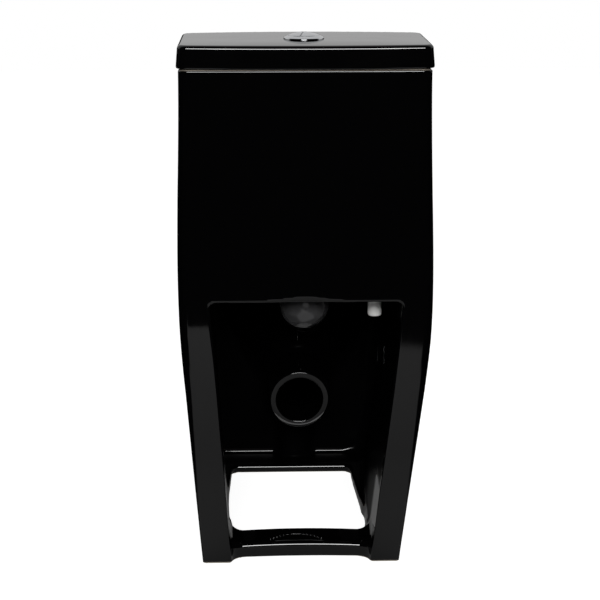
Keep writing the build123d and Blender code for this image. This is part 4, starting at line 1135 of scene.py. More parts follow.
@dataclass
class TankLid:
    """The loose china lid. Sizes in millimetres."""

    low: float = 742.5
    top: float = 775.0
    half: float = 181.5
    back: float = 340.0
    front: float = 150.0
    bow: float = 20.0
    draft: float = 2.6
    corner: float = 14.0
    edge: float = 5.0
    plate: float = 12.0
    lip_outer: float = 17.0
    lip_inner: float = 25.0
    lip_drop: float = 6.0
    lip_root: float = 2.0
    foot_round: float = 2.0
    hollow_round: float = 6.0
    hollow_edge: float = 2.0
    hole: float = 25.0
    hole_y: float = 245.0
    hole_edge: float = 1.0
    sag: float = 1.5
    sag_start: float = 30.0
    grid_x: Stops = ((-186.0, 2.4), (-168.0, 4.0), (0.0, 4.0), (168.0, 2.4), (186.0, 0.0))
    grid_y: Stops = ((126.0, 3.2), (322.0, 1.3), (344.0, 0.0))
    grid_z: Stops = ((732.0, 2.0), (764.0, 1.1), (779.0, 0.0))

    def plan(self, x: np.ndarray, y: np.ndarray, inset: np.ndarray) -> np.ndarray:
        """Distance to the lid's outline drawn in by an inset.

        Args:
            x: Places along X.
            y: Places along Y.
            inset: How far the outline is drawn in.

        Returns:
            Distances, below 0 inside.
        """
        radius = arc_radius(self.half, self.bow)
        centre = self.front - self.bow + radius
        face = np.sqrt(x * x + (y - centre) ** 2) - radius + inset
        sides = meet(np.abs(x) - self.half + inset, y - self.back + inset, self.corner)
        return meet(sides, face, self.corner)

    def form(self, x: np.ndarray, y: np.ndarray, z: np.ndarray) -> np.ndarray:
        """The lid, its back edge a little bowed by the firing.

        Args:
            x: Places along X.
            y: Places along Y.
            z: Places along Z.

        Returns:
            Distances, below 0 inside.
        """
        start = self.hole_y + self.sag_start
        late = fade(y, start, self.back - start)
        z = z + self.sag * late * late * np.clip(1 - (x / self.half) ** 2, 0.0, 1.0)
        rise = np.clip((z - self.low) / (self.top - self.low), 0.0, 1.0)
        solid = meet(self.plan(x, y, self.draft * rise), z - self.top, self.edge)
        solid = meet(solid, self.low - z, self.foot_round)
        lip = np.maximum(self.plan(x, y, np.full_like(x, self.lip_outer)), self.low - self.lip_drop - z)
        solid = join(solid, np.maximum(lip, z - self.top + self.plate), self.lip_root)
        hollow = self.plan(x, y, np.full_like(x, self.lip_inner))
        hollow = meet(hollow, z - self.top + self.plate, self.hollow_round)
        solid = cut(solid, hollow, self.hollow_edge)
        bore = np.sqrt(x * x + (y - self.hole_y) ** 2) - self.hole
        return cut(solid, bore, self.hole_edge)

    def build(self) -> bpy.types.Object:
        """Meshes the lid and dresses it.

        Returns:
            The new piece.
        """
        grid = (graded(*self.grid_x), graded(*self.grid_y), graded(*self.grid_z))
        lid = FormMesher(self.form, grid).build("lid_china")
        dress(lid, Glaze("black_glaze_lid", bare_below=0.738).build())
        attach(lid, "lid")
        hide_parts("tank_lid")
        return lid


@dataclass
class FlushDome:
    """The flush elbow under the tank floor, a satin casting. Sizes in millimetres."""

    china: ChinaBody
    radius: float = 37.0
    bore: float = 27.0
    height: float = 380.0
    valve_y: float = 245.0
    front: float = -30.0
    top: float = 415.0
    overrun: float = 60.0
    bend_round: float = 3.0
    bore_edge: float = 1.0
    deck_back: float = 150.0
    deck_top: float = 400.0
    basin_clear: float = 3.0
    grid_x: Stops = ((-40.0, 2.0), (40.0, 0.0))
    grid_y: Stops = ((-36.0, 8.0), (190.0, 2.0), (288.0, 0.0))
    grid_z: Stops = ((336.0, 2.0), (420.0, 0.0))

    def form(self, x: np.ndarray, y: np.ndarray, z: np.ndarray) -> np.ndarray:
        """The elbow: a run from the basin's wall under the deck, a bend and a rise to the tank floor.

        Args:
            x: Places along X.
            y: Places along Y.
            z: Places along Z.

        Returns:
            Distances, below 0 inside.
        """
        corner = (0.0, self.valve_y, self.height)
        run = rod(x, y, z, (0.0, self.front - self.overrun, self.height), corner) - self.radius
        rise = rod(x, y, z, corner, (0.0, self.valve_y, self.top + self.overrun)) - self.radius
        solid = np.maximum(join(run, rise, self.bend_round), np.maximum(z - self.top, self.front - y))
        inside = np.maximum(z - self.deck_top, self.basin_clear - self.china.basin(x, y, z))
        solid = np.where(y < self.deck_back, np.maximum(solid, inside), solid)
        bore = np.minimum(run, rise) + self.radius - self.bore
        return cut(solid, bore, self.bore_edge)

    def build(self) -> bpy.types.Object:
        """Meshes the elbow and dresses it.

        Returns:
            The new piece.
        """
        grid = (graded(*self.grid_x), graded(*self.grid_y), graded(*self.grid_z))
        dome = FormMesher(self.form, grid).build("flush_dome")
        self.china.settle(dome)
        dress(dome, SATIN.build())
        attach(dome, "china")
        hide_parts("flush_elbow")
        return dome


def turned(
    name: str, profile: list[tuple[float, float]], centre: tuple[float, float], sides: int
) -> bpy.types.Object:
    """Turns a closed profile round an axis along Y.

    Args:
        name: The new piece's name.
        profile: Radius and place along Y of each point, in order, in millimetres.
        centre: X and Z of the axis, in millimetres.
        sides: Number of steps round the axis.

    Returns:
        The new object, smooth, at the origin.
    """
    turn = np.arange(sides) * 2 * math.pi / sides
    rings = np.array(profile)
    points = np.empty((sides, len(rings), 3))
    points[:, :, 0] = centre[0] + np.cos(turn)[:, None] * rings[:, 0]
    points[:, :, 1] = rings[:, 1]
    points[:, :, 2] = centre[1] + np.sin(turn)[:, None] * rings[:, 0]
    count = len(rings)
    faces = []
    for i in range(sides):
        for j in range(count):
            here, there = i * count, (i + 1) % sides * count
            faces.append((here + j, here + (j + 1) % count, there + (j + 1) % count, there + j))
    mesh = bpy.data.meshes.new(name)
    mesh.from_pydata((points.reshape(-1, 3) * MM).tolist(), [], faces)
    mesh.shade_smooth()
    return linked(name, mesh)


@dataclass
class WasteSpigot:
    """The true end of the waste outlet. Sizes in millimetres."""

    outer: float = 47.8
    bore: float = 37.5
    start: float = 20.0
    end: float = 105.0
    height: float = 180.0
    edge: float = 1.8
    rake: float = 0.08
    rings: int = 8
    steps: int = 5
    sides: int = 96

    def corner(self, radius: float, outward: float) -> list[tuple[float, float]]:
        """Points of one rounded edge of the end face, from the wall to the face.

        Args:
            radius: Radius of the wall.
            outward: 1 for the outer wall and -1 for the bore.

        Returns:
            Radius and place along Y of each point.
        """
        middle = radius - outward * self.edge
        points = []
        for k in range(self.steps + 1):
            angle = math.pi / 2 * k / self.steps
            out = outward * self.edge * math.cos(angle)
            points.append((middle + out, self.end - self.edge + self.edge * math.sin(angle)))
        return points

    def build(self, china: ChinaBody) -> bpy.types.Object:
        """Turns the spigot, rakes its end face and dresses it.

        Args:
            china: The casting that it belongs to.

        Returns:
            The new piece.
        """
        along = np.linspace(self.start, self.end - self.edge, self.rings)[:-1]
        profile = [(self.outer, float(y)) for y in along] + self.corner(self.outer, 1.0)
        profile += self.corner(self.bore, -1.0)[::-1] + [(self.bore, float(y)) for y in along[::-1]]
        spigot = turned("spigot_end", profile[::-1], (0.0, self.height), self.sides)
        top = (self.height + self.outer) * MM
        lean = Matrix.Identity(4)
        lean[1][2] = self.rake
        lean[1][3] = -self.rake * top
        spigot.data.transform(lean)
        china.settle(spigot)
        dress(spigot, Glaze("black_glaze_spigot").build())
        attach(spigot, "china")
        return spigot


# Seat and cover
@dataclass
class Hinged:
    """What the seat and the cover share: a D-shaped plan with two hinge knuckles. Sizes in millimetres."""

    half: float
    front: float
    low: float
    high: float
    knuckle_x: float
    arm_low: float
    arm_high: float
    back: float = 50.0
    corner: float = 14.0
    hinge_y: float = 72.0
    hinge_z: float = 437.0
    knuckle: float = 8.5
    knuckle_half: float = 8.5
    arm: float = 10.0
    bore: float = 4.2
    knuckle_edge: float = 1.0
    knuckle_fillet: float = 1.5
    bore_edge: float = 0.4
    knuckle_zone: float = 12.0
    edge_zone: tuple[float, float] = (174.0, 188.0)
    knuckle_top: float = 447.0
    margin: float = 3.0

    def plan(self, x: np.ndarray, y: np.ndarray, inset: float = 0.0) -> np.ndarray:
        """Distance to the outline drawn in by an inset."""
        return d_outline(x, y, self.half - inset, self.back - inset, self.front + inset, self.corner)

    def with_knuckles(self, solid: np.ndarray, x: np.ndarray, y: np.ndarray, z: np.ndarray) -> np.ndarray:
        """Adds the knuckles and their arms, and bores them.

        Args:
            solid: Distances to the plate.
            x: Places along X.
            y: Places along Y.
            z: Places along Z.

        Returns:
            Distances to the whole piece.
        """
        side = np.abs(np.abs(x) - self.knuckle_x) - self.knuckle_half
        axle = np.sqrt((y - self.hinge_y) ** 2 + (z - self.hinge_z) ** 2)
        eye = meet(side, axle - self.knuckle, self.knuckle_edge)
        along = np.maximum(self.back - self.arm - y, y - self.hinge_y)
        level = np.maximum(self.arm_low - z, z - self.arm_high)
        arm = meet(side, np.maximum(along, level), self.knuckle_edge)
        solid = join(join(solid, arm, self.knuckle_fillet), eye, self.knuckle_fillet)
        return cut(solid, axle - self.bore, self.bore_edge)

    def grid(self) -> tuple[np.ndarray, np.ndarray, np.ndarray]:
        """Grid places, fine at the edges and the knuckles.

        Returns:
            Places along X, Y and Z.
        """
        near, far = self.knuckle_x - self.knuckle_zone, self.knuckle_x + self.knuckle_zone
        start, end = self.edge_zone
        side = graded((0.0, 5.0), (near, 1.9), (far, 5.0), (start, 2.2), (end, 0.0))
        xs = np.concatenate([-side[:0:-1], side])
        ys = graded((self.front - 6.0, 2.6), (self.front + 30.0, 5.0), (30.0, 1.9), (84.0, 0.0))
        low = min(self.low, self.hinge_z - self.knuckle) - self.margin
        high = max(self.high, self.knuckle_top) + self.margin
        zs = graded((low, 1.5), (high, 0.0))
        return xs, ys, zs


@dataclass
class SeatRing(Hinged):
    """The seat."""

    hole: tuple[float, float] = (113.0, 135.0)
    hole_y: float = -140.0
    top_round: float = 7.0
    foot_round: float = 2.0

    def form(self, x: np.ndarray, y: np.ndarray, z: np.ndarray) -> np.ndarray:
        """The ring with its softly rounded top.

        Args:
            x: Places along X.
            y: Places along Y.
            z: Places along Z.

        Returns:
            Distances, below 0 inside.
        """
        ring = np.maximum(self.plan(x, y), -oval(x, y - self.hole_y, *self.hole))
        solid = meet(meet(ring, z - self.high, self.top_round), self.low - z, self.foot_round)
        return self.with_knuckles(solid, x, y, z)

    def build(self) -> bpy.types.Object:
        """Meshes the seat and dresses it.

        Returns:
            The new piece.
        """
        seat = FormMesher(self.form, self.grid()).build("seat_moulding")
        dress(seat, FINISHES[Slot.SEAT].build())
        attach(seat, "seat")
        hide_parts("seat_ring")
        return seat


@dataclass
class SeatCover(Hinged):
    """The cover."""

    crown: float = 5.0
    top_round: float = 7.0
    foot_round: float = 1.5
    wall: float = 14.0
    hollow: float = 8.0
    hollow_round: float = 4.0
    hollow_edge: float = 1.5

    def form(self, x: np.ndarray, y: np.ndarray, z: np.ndarray) -> np.ndarray:
        """The crowned shell, hollow below.

        Args:
            x: Places along X.
            y: Places along Y.
            z: Places along Z.

        Returns:
            Distances, below 0 inside.
        """
        bend = arc_radius(self.half, self.crown)
        top = np.sqrt(x * x + (z - self.high + bend) ** 2) - bend
        solid = meet(meet(self.plan(x, y), top, self.top_round), self.low - z, self.foot_round)
        under = meet(self.plan(x, y, self.wall), z - self.low - self.hollow, self.hollow_round)
        under = np.maximum(under, y - self.back + 2 * self.wall)
        return self.with_knuckles(cut(solid, under, self.hollow_edge), x, y, z)

    def build(self) -> bpy.types.Object:
        """Meshes the cover and dresses it.

        Returns:
            The new piece.
        """
        cover = FormMesher(self.form, self.grid()).build("cover_moulding")
        dress(cover, FINISHES[Slot.SEAT].build())
        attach(cover, "cover")
        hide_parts("seat_cover")
        return cover


# Pieces that repeat or follow a path
class NodeShape:
    """A Geometry Nodes tree with named inputs, turned into a plain mesh."""

    def __init__(self, name: str, **inputs: float) -> None:
        """Starts a tree.

        Args:
            name: The tree's name, and the piece's.
            **inputs: Value of each named input; whole numbers make whole-number inputs.
        """
        self.name = name
        self.values = inputs
        self.tree = bpy.data.node_groups.new(name, "GeometryNodeTree")
        face = self.tree.interface
        face.new_socket("Geometry", in_out="INPUT", socket_type="NodeSocketGeometry")
        self.names = {}
        for key, value in inputs.items():
            kind = "NodeSocketInt" if isinstance(value, int) else "NodeSocketFloat"
            self.names[key] = face.new_socket(key, in_out="INPUT", socket_type=kind).identifier
        face.new_socket("Geometry", in_out="OUTPUT", socket_type="NodeSocketGeometry")
        self.given = self.tree.nodes.new("NodeGroupInput")
        self.result = self.tree.nodes.new("NodeGroupOutput")

    def add(self, kind: str, **links: object) -> bpy.types.Node:
        """Adds a node and feeds its sockets.

        Args:
            kind: Node type without its GeometryNode prefix.
            **links: Socket name with spaces as underscores, and a socket, an input's name or a number.

        Returns:
            The node.
        """
        node = self.tree.nodes.new("GeometryNode" + kind)
        for key, value in links.items():
            socket = node.inputs[key.replace("_", " ")]
            if isinstance(value, str):
                self.tree.links.new(self.given.outputs[value], socket)
            elif isinstance(value, Socket):
                self.tree.links.new(value, socket)
            else:
                socket.default_value = value
        return node

    def piece(
        self, source: Socket, material: bpy.types.Material, base: list[Point] | None = None
    ) -> bpy.types.Object:
        """Ends the tree and makes the piece.

        Args:
            source: The finished geometry.
            material: What the piece is made of.
            base: Points of a line that the tree works on, in metres, if it needs one.

        Returns:
            A plain mesh object.
        """
        real = self.add("RealizeInstances", Geometry=source)
        worn = self.add("SetMaterial", Geometry=real.outputs[0], Material=material)
        self.tree.links.new(worn.outputs[0], self.result.inputs[0])
        mesh = bpy.data.meshes.new(self.name + "_base")
        points = base or []
        mesh.from_pydata(points, [(i, i + 1) for i in range(len(points) - 1)], [])
        carrier = linked(self.name + "_carrier", mesh)
        modifier = carrier.modifiers.new(self.name, "NODES")
        modifier.node_group = self.tree
        for key, value in self.values.items():
            modifier[self.names[key]] = value
        made = bpy.data.meshes.new_from_object(carrier.evaluated_get(bpy.context.evaluated_depsgraph_get()))
        bpy.data.objects.remove(carrier)
        made.name = self.name
        made.shade_smooth()
        return linked(self.name, made)


@dataclass(frozen=True)
class CoilSpring:
    """A button's return spring. Sizes in metres."""

    name: str
    joint: str
    replaced: str
    offset: float
    wire: float = 0.0006
    radius: float = 0.006
    turns: int = 5
    low: float = 0.746
    high: float = 0.7715
    centre_y: float = 0.245
    pressed: float = 0.765
    turn_steps: int = 28
    wire_sides: int = 8

    def build(self) -> bpy.types.Object:
        """Winds the spring along its spiral and hangs it on the lid.

        Returns:
            The new piece.
        """
        shape = NodeShape(
            self.name,
            Turns=float(self.turns),
            Radius=self.radius,
            Wire=self.wire,
            Height=self.high - self.low - 2 * self.wire,
        )
        coil = shape.add(
            "CurveSpiral",
            Resolution=self.turn_steps,
            Rotations="Turns",
            Start_Radius="Radius",
            End_Radius="Radius",
            Height="Height",
        )
        wire = shape.add("CurvePrimitiveCircle", Resolution=self.wire_sides, Radius="Wire")
        swept = shape.add("CurveToMesh", Curve=coil.outputs[0], Profile_Curve=wire.outputs[0], Fill_Caps=True)
        spring = shape.piece(swept.outputs[0], FINISHES[Slot.STEEL].build())
        spring.data.transform(Matrix.Translation((self.offset, self.centre_y, self.low + self.wire)))
        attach(spring, "lid")
        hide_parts(self.replaced)
        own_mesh(spring)
        return spring


@dataclass(frozen=True)
class ThreadRings:
    """The ridges of a screw thread, one ring to a turn. Sizes in metres."""

    name: str
    body: str
    finish: Slot
    place: Point
    radius: float
    pitch: float
    count: int
    ridge: float
    ring_steps: int = 48
    ridge_sides: int = 6

    def build(self) -> bpy.types.Object:
        """Repeats one ring along the thread.

        Returns:
            The new piece.
        """
        shape = NodeShape(self.name, Count=self.count, Radius=self.radius, Ridge=self.ridge)
        wire = shape.add("CurvePrimitiveCircle", Resolution=self.ring_steps, Radius="Radius")
        section = shape.add("CurvePrimitiveCircle", Resolution=self.ridge_sides, Radius="Ridge")
        ring = shape.add("CurveToMesh", Curve=wire.outputs[0], Profile_Curve=section.outputs[0])
        line = shape.add("MeshLine", Count="Count", Offset=(0.0, 0.0, self.pitch))
        rings = shape.add("InstanceOnPoints", Points=line.outputs[0], Instance=ring.outputs[0])
        thread = shape.piece(rings.outputs[0], FINISHES[self.finish].build())
        thread.data.transform(Matrix.Translation(self.place))
        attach(thread, self.body)
        return thread


SPRINGS = (
    CoilSpring("full_spring", "full_press", "full_button_spring", 0.011),
    CoilSpring("half_spring", "half_press", "half_button_spring", -0.011),
)
STUD = {"radius": 0.0029, "pitch": 0.001, "count": 4, "ridge": 0.0003}
INLET = {"radius": 0.0102, "pitch": 0.0018, "count": 19, "ridge": 0.0004}
THREADS = (
    ThreadRings("inlet_thread", "china", Slot.WHITE, (-0.107, 0.245, 0.3660), **INLET),
    ThreadRings("left_stud_thread", "china", Slot.STEEL, (0.078, 0.072, 0.3635), **STUD),
    ThreadRings("right_stud_thread", "china", Slot.STEEL, (-0.078, 0.072, 0.3635), **STUD),
)


@dataclass(frozen=True)
class GlazeBead:
    """A thin ridge under the glaze: a fettled mould seam or a run of slip. Sizes in millimetres."""

    name: str
    start: Point
    end: Point
    toward: Point = (0.0, -1.0, 0.0)
    bow: Point = (0.0, 0.0, 0.0)
    bead: float = 0.8
    drop: float = 0.0
    every: float = 6.0
    steps: int = 80
    falls: int = 70
    fall_share: float = 0.7
    sides: int = 8
    ball_levels: int = 3

    def path(self, china: ChinaBody) -> list[Point]:
        """Drops the line on to the casting's skin.

        Args:
            china: The casting.

        Returns:
            Points on the skin, in metres.
        """
        share = np.linspace(0.0, 1.0, self.steps)[:, None]
        run = np.subtract(self.end, self.start)
        points = np.array(self.start) + share * run + 4 * share * (1 - share) * np.array(self.bow)
        way = np.array(self.toward) / np.linalg.norm(self.toward)
        for _ in range(self.falls):
            points = points + self.fall_share * np.maximum(china.form(*points.T), 0.0)[:, None] * way
        points[:, 0] += china.drift(points[:, 2])
        return [tuple(p) for p in (points * MM).tolist()]

    def build(self, china: ChinaBody) -> bpy.types.Object:
        """Runs a thin round ridge along the line, with small drops on it where it has them.

        Args:
            china: The casting that it belongs to.

        Returns:
            The new piece.
        """
        count = max(2, round(math.dist(self.start, self.end) / self.every))
        shape = NodeShape(self.name, Bead=self.bead * MM, Drop=self.drop * MM, Drops=count)
        line = shape.add("MeshToCurve", Mesh="Geometry")
        section = shape.add("CurvePrimitiveCircle", Resolution=self.sides, Radius="Bead")
        ridge = shape.add(
            "CurveToMesh", Curve=line.outputs[0], Profile_Curve=section.outputs[0], Fill_Caps=True
        )
        whole = shape.add("JoinGeometry")
        shape.tree.links.new(ridge.outputs[0], whole.inputs[0])
        if self.drop:
            spots = shape.add("CurveToPoints", Curve=line.outputs[0], Count="Drops")
            ball = shape.add("MeshIcoSphere", Radius="Drop", Subdivisions=self.ball_levels)
            drops = shape.add("InstanceOnPoints", Points=spots.outputs[0], Instance=ball.outputs[0])
            shape.tree.links.new(drops.outputs[0], whole.inputs[0])
        seam = shape.piece(whole.outputs[0], Glaze("black_glaze_" + self.name).build(), self.path(china))
        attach(seam, "china")
        return seam


SIGHT = (-0.05, -0.96, -0.28)
WALL = (-1.0, 0.0, 0.0)
BEADS = (
    GlazeBead("mould_seam", (1.6, 90.0, 300.0), (1.2, 90.0, 238.0), drop=1.8, every=5.0),
    GlazeBead("bowl_run", (14.0, 200.0, 326.5), (-18.0, 200.0, 327.0), SIGHT, bow=(0.0, 0.0, -1.5), bead=1.4),
    GlazeBead("pipe_seam_left", (80.0, 58.0, 186.0), (80.0, -50.0, 186.0), (-1.0, 0.0, 0.0), drop=1.6),
    GlazeBead("pipe_seam_right", (-80.0, 30.0, 186.0), (-80.0, -60.0, 186.0), (1.0, 0.0, 0.0), drop=1.2),
    GlazeBead("wall_run_high", (-100.0, -94.0, 210.0), (-100.0, -89.0, 187.0), WALL, drop=1.8, every=3.0),
    GlazeBead("wall_run_low", (-100.0, 61.0, 257.0), (-100.0, 111.0, 245.0), WALL, drop=1.6, every=4.0),
    GlazeBead(
        "rail_run",
        (46.0, 305.0, 60.0),
        (-31.0, 303.0, 60.0),
        toward=(0.0, 0.0, -1.0),
        bow=(0.0, -17.0, 0.0),
        bead=1.2,
        drop=2.2,
        every=5.0,
    ),
)


# Push buttons
@dataclass
class ButtonDome:
    """The low dome that the collar and the two half buttons share. Sizes in millimetres."""

    centre_y: float = 245.0
    foot: float = 775.0
    rim: float = 777.2
    crown: float = 785.1
    radius: float = 29.0
    draft: float = 0.18
    bore: float = 22.5
    sleeve: float = 24.0
    sleeve_low: float = 743.0
    plate: float = 3.0
    stem_hole: float = 4.4
    stem_offset: float = 11.0
    button: float = 22.15
    button_low: float = 779.1
    split: float = 0.45
    turn: float = 0.26
    collar_edge: float = 0.3
    split_corner: float = 0.5
    cap_edge: float = 0.4
    probe: float = 0.04
    collar_plan: Stops = ((-31.0, 0.9), (31.0, 0.0))
    collar_levels: Stops = ((741.0, 1.6), (773.0, 0.6), (787.0, 0.0))
    cap_plan: Stops = ((-23.6, 0.8), (23.6, 0.0))
    cap_levels: Stops = ((777.5, 0.55), (787.0, 0.0))

    def dome(self, x: np.ndarray, y: np.ndarray, z: np.ndarray) -> np.ndarray:
        """Distance to the shared round top."""
        bend = arc_radius(self.radius, self.crown - self.rim)
        return np.sqrt(x * x + (y - self.centre_y) ** 2 + (z - self.crown + bend) ** 2) - bend

    def collar(self, x: np.ndarray, y: np.ndarray, z: np.ndarray) -> np.ndarray:
        """The collar: a drafted flange, a sleeve through the lid and a guide plate for the stems.

        Args:
            x: Places along X.
            y: Places along Y.
            z: Places along Z.

        Returns:
            Distances, below 0 inside.
        """
        far = np.sqrt(x * x + (y - self.centre_y) ** 2)
        side = far - self.radius + self.draft * (z - self.rim)
        flange = np.maximum(meet(side, self.dome(x, y, z), self.collar_edge), self.foot - z)
        sleeve = np.maximum(np.maximum(far - self.sleeve, self.sleeve_low - z), z - self.rim)
        inside = np.maximum(far - self.bore, self.sleeve_low + self.plate - z)
        solid = cut(np.minimum(flange, sleeve), inside, self.collar_edge)
        hole = np.sqrt((np.abs(x) - self.stem_offset) ** 2 + (y - self.centre_y) ** 2) - self.stem_hole
        return np.maximum(solid, -hole)

    def half(self, side: float) -> Form:
        """One half button's cap.

        Args:
            side: 1 for the half towards +X and -1 for the other.

        Returns:
            The cap's form.
        """
        across, along = math.cos(self.turn), math.sin(self.turn)

        def cap(x: np.ndarray, y: np.ndarray, z: np.ndarray) -> np.ndarray:
            """Distance to the half button's cap.

            Args:
                x: Places along X.
                y: Places along Y.
                z: Places along Z.

            Returns:
                Distances, below 0 inside.
            """
            far = np.sqrt(x * x + (y - self.centre_y) ** 2) - self.button
            edge = self.split - side * (across * x - along * (y - self.centre_y))
            plan = meet(far, edge, self.split_corner)
            return np.maximum(meet(plan, self.dome(x, y, z), self.cap_edge), self.button_low - z)

        return cap

    def build(self) -> list[bpy.types.Object]:
        """Meshes the collar and the two caps and dresses them.

        Returns:
            The collar and the two caps.
        """
        chrome = FINISHES[Slot.CHROME].build()
        around = graded(*self.collar_plan)
        grid = (around, around + self.centre_y, graded(*self.collar_levels))
        collar = FormMesher(self.collar, grid, probe=self.probe).build("collar_dome")
        dress(collar, chrome)
        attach(collar, "lid")
        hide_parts("button_collar")
        made = [collar]
        around = graded(*self.cap_plan)
        grid = (around, around + self.centre_y, graded(*self.cap_levels))
        for name, body, side in (("full_cap", "full_button", 1.0), ("half_cap", "half_button", -1.0)):
            cap = FormMesher(self.half(side), grid, probe=self.probe).build(name)
            dress(cap, chrome)
            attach(cap, body)
            made.append(cap)
        return made


# Stage
class Reach(Enum):
    """Which pieces a lamp lights."""

    ALL = "all"
    BUTTON = "button"
    REST = "rest"


@dataclass(frozen=True)
class Lamp:
    """A soft rectangular lamp. Sizes in metres, power in watts."""

    name: str
    place: Point
    aim: Point
    width: float
    height: float
    power: float
    mirrored: bool = True
    reach: Reach = Reach.ALL


KEY_PLACE = (0.0, 4.3, 2.25)
KEY_AIM = (0.0, 0.3, 0.55)
LAMPS = (
    Lamp("key_lamp", KEY_PLACE, KEY_AIM, width=2.4, height=1.0, power=188.0, reach=Reach.REST),
    Lamp("top_lamp", (0.0, -0.6, 3.2), (0.0, 0.0, 0.3), width=2.4, height=2.4, power=16.0, mirrored=False),
    Lamp("button_card", KEY_PLACE, KEY_AIM, width=2.3, height=1.0, power=10.5, reach=Reach.BUTTON),
)


@dataclass
class Studio:
    """Camera, lamps, floor and surroundings."""

    eye: Point = (0.072, 2.580, 1.002)
    pitch_deg: float = 14.79
    yaw_deg: float = 1.634
    lens: float = 96.4
    sensor: float = 36.0
    clip_end: float = 100.0
    floor_back: float = 1.577
    floor_skew: float = 0.358
    floor_front: float = -6.0
    floor_half: float = 4.0
    floor_glow: float = 0.86
    floor_tones: tuple[float, float] = (0.5, 0.49)
    floor_patch: float = 3.0
    floor_roughness: float = 0.9
    front_light: float = 0.73
    front_span: tuple[float, float] = (-0.25, 0.1)
    horizon_span: tuple[float, float] = (0.03, 0.07)
    # Painted shade in the floor's reflections: where and how much the floor's colour is darkened for glossy
    # rays only.
    painted_reflection_dim_span: tuple[float, float] = (0.45, 0.8)
    painted_reflection_dim_share: float = 0.25
    painted_reflection_half: tuple[float, float] = (0.27, 0.45)
    painted_reflection_near: tuple[float, float] = (0.14, 0.2)
    painted_reflection_start: tuple[float, float] = (0.33, 0.38)

    def camera(self) -> None:
        """Makes the camera at the photograph's viewing angle."""
        data = bpy.data.cameras.new("camera")
        data.lens = self.lens
        data.sensor_width = self.sensor
        data.clip_end = self.clip_end
        camera = linked("camera", data)
        camera.location = self.eye
        turn = Matrix.Rotation(math.pi - math.radians(self.yaw_deg), 3, "Z")
        tilt = Matrix.Rotation(math.radians(90.0 - self.pitch_deg), 3, "X")
        camera.rotation_euler = (turn @ tilt).to_euler()
        bpy.context.scene.camera = camera

    def world(self) -> None:
        """White to the eye; to the object a white studio in front and a dark room behind the camera."""
        world = bpy.data.worlds.new("studio")
        bpy.context.scene.world = world
        world.use_nodes = True
        tree = world.node_tree
        tree.nodes.clear()
        out = tree.nodes.new("ShaderNodeOutputWorld")
        seen = tree.nodes.new("ShaderNodeBackground")
        seen.inputs["Color"].default_value = (1.0, 1.0, 1.0, 1.0)
        seen.inputs["Strength"].default_value = 1.0
        room = tree.nodes.new("ShaderNodeBackground")
        where = tree.nodes.new("ShaderNodeTexCoord")
        split = tree.nodes.new("ShaderNodeSeparateXYZ")
        tree.links.new(where.outputs["Generated"], split.inputs[0])
        both = tree.nodes.new("ShaderNodeMath")
        both.operation = "MULTIPLY"
        steps = (("Y", *self.front_span, self.front_light, 0.0), ("Z", *self.horizon_span, 0.0, 1.0))
        for socket, (axis, *span) in zip(both.inputs, steps):
            step = tree.nodes.new("ShaderNodeMapRange")
            step.interpolation_type = "SMOOTHSTEP"
            for name, value in zip(("From Min", "From Max", "To Min", "To Max"), span):
                step.inputs[name].default_value = value
            tree.links.new(split.outputs[axis], step.inputs["Value"])
            tree.links.new(step.outputs["Result"], socket)
        tree.links.new(both.outputs[0], room.inputs["Strength"])
        path = tree.nodes.new("ShaderNodeLightPath")
        pick = tree.nodes.new("ShaderNodeMixShader")
        tree.links.new(path.outputs["Is Camera Ray"], pick.inputs[0])
        tree.links.new(room.outputs[0], pick.inputs[1])
        tree.links.new(seen.outputs[0], pick.inputs[2])
        tree.links.new(pick.outputs[0], out.inputs["Surface"])

    def floor(self) -> None:
        """A white floor that ends in the dark behind the camera and keeps the object's shadow; in reflections
        its colour is painted darker to the sides and far behind, as painted shade.
        """
        corners = [
            (-self.floor_half, self.floor_front, 0.0),
            (self.floor_half, self.floor_front, 0.0),
            (self.floor_half, self.floor_back + self.floor_skew * self.floor_half, 0.0),
            (-self.floor_half, self.floor_back - self.floor_skew * self.floor_half, 0.0),
        ]
        mesh = bpy.data.meshes.new("floor")
        mesh.from_pydata(corners, [], [(0, 1, 2, 3)])
        floor = linked("floor", mesh)
        s = Shader("white_floor")
        s.set(Roughness=self.floor_roughness, Specular_IOR_Level=0.0)
        patch = s.mottle(self.floor_patch, 2.0, 0.0, 1.0)
        path = s.tree.nodes.new("ShaderNodeLightPath")
        split = s.tree.nodes.new("ShaderNodeSeparateXYZ")
        s.link(s.where, split.inputs[0])
        # Painted shade: for glossy rays only, the floor's colour is darkened to the sides, beside the
        # object's front and far behind, so reflections show a darker floor than the eye sees.
        aside = s.math("ABSOLUTE", split.outputs["X"], 0.0)
        away = s.remap(aside, *self.painted_reflection_half, 0.0, 1.0)
        front = s.remap(split.outputs["Y"], *self.painted_reflection_start, 1.0, 0.0)
        front = s.math("MULTIPLY", s.remap(aside, *self.painted_reflection_near, 0.0, 1.0), front)
        dim = s.remap(split.outputs["Y"], *self.painted_reflection_dim_span, 0.0, self.painted_reflection_dim_share)
        dark = s.math("MAXIMUM", s.math("MAXIMUM", away, front), dim)
        painted_reflection_keep = s.math("SUBTRACT", 1.0, s.math("MULTIPLY", dark, path.outputs["Is Glossy Ray"]))
        shade = s.math("MULTIPLY", s.remap(patch, 0.0, 1.0, *self.floor_tones), painted_reflection_keep)
        s.feed(shade, "Base Color")
        s.set(Emission_Color=(1.0, 1.0, 1.0, 1.0))
        s.feed(s.math("MULTIPLY", path.outputs["Is Camera Ray"], self.floor_glow), "Emission Strength")
        dress(floor, s.material)

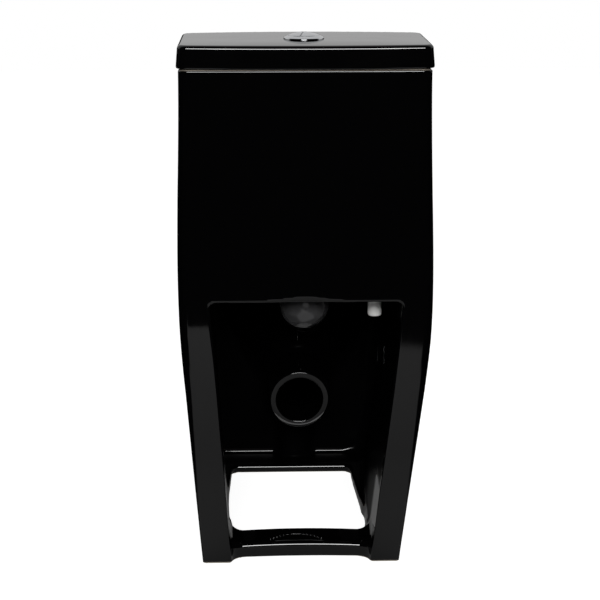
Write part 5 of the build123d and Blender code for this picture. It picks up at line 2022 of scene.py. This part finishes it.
    def lamp(self, lamp: Lamp) -> None:
        """Adds a soft lamp.

        Args:
            lamp: What the lamp is and where it hangs.
        """
        data = bpy.data.lights.new(lamp.name, "AREA")
        data.shape = "RECTANGLE"
        data.size = lamp.width
        data.size_y = lamp.height
        data.energy = lamp.power
        made = linked(lamp.name, data)
        made.location = lamp.place
        made.rotation_euler = (Vector(lamp.aim) - Vector(lamp.place)).to_track_quat("-Z", "Y").to_euler()
        made.visible_glossy = lamp.mirrored

    def card(self, button: list[bpy.types.Object]) -> None:
        """Lets the push button mirror a dim card in place of the bright lamp.

        Args:
            button: The button's chrome pieces.
        """
        for lamp in LAMPS:
            if lamp.reach is Reach.ALL:
                continue
            group = bpy.data.collections.new(lamp.name)
            for piece in button:
                group.objects.link(piece)
            for member in group.collection_objects:
                member.light_linking.link_state = "INCLUDE" if lamp.reach is Reach.BUTTON else "EXCLUDE"
            bpy.data.objects[lamp.name].light_linking.receiver_collection = group

    def build(self) -> None:
        """Sets the stage."""
        bpy.context.scene.view_settings.view_transform = "Standard"
        self.camera()
        self.world()
        self.floor()
        for lamp in LAMPS:
            self.lamp(lamp)


def dress_nodes() -> None:
    """Gives every CAD node that still shows the finish of its slot."""
    made = {}
    for name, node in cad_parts.items():
        if node.hide_render:
            continue
        slot = next((m.name.split(".")[0] for m in node.data.materials if m), Slot.GREY.value)
        try:
            finish = Slot(slot)
        except ValueError:
            LOG.warning("%s has slot %s", name, slot)
            finish = Slot.GREY
        if finish not in made:
            made[finish] = FINISHES[finish].build()
        dress(node, made[finish])


def main() -> None:
    """Builds and reports every piece in order."""
    logging.basicConfig(level=logging.INFO, format="%(name)s: %(message)s")
    studio = Studio()
    studio.build()
    china = ChinaBody()
    made = [china.build(), FlushDome(china).build(), WasteSpigot().build(china)]
    made += [bead.build(china) for bead in BEADS]
    made.append(TankLid().build())
    button = ButtonDome().build()
    studio.card(button)
    made += button
    seat = SeatRing(
        half=183.0, front=-337.0, low=423.0, high=441.0, knuckle_x=94.9, arm_low=428.5, arm_high=437.0
    )
    cover = SeatCover(
        half=184.0, front=-340.0, low=444.0, high=462.0, knuckle_x=61.1, arm_low=444.0, arm_high=447.0
    )
    made += [part.build() for part in (seat, cover, *SPRINGS, *THREADS)]
    for piece in made:
        LOG.info("%s: %d points, %d faces", piece.name, len(piece.data.vertices), len(piece.data.polygons))
    dress_nodes()


if __name__ == "__main__":
    main()
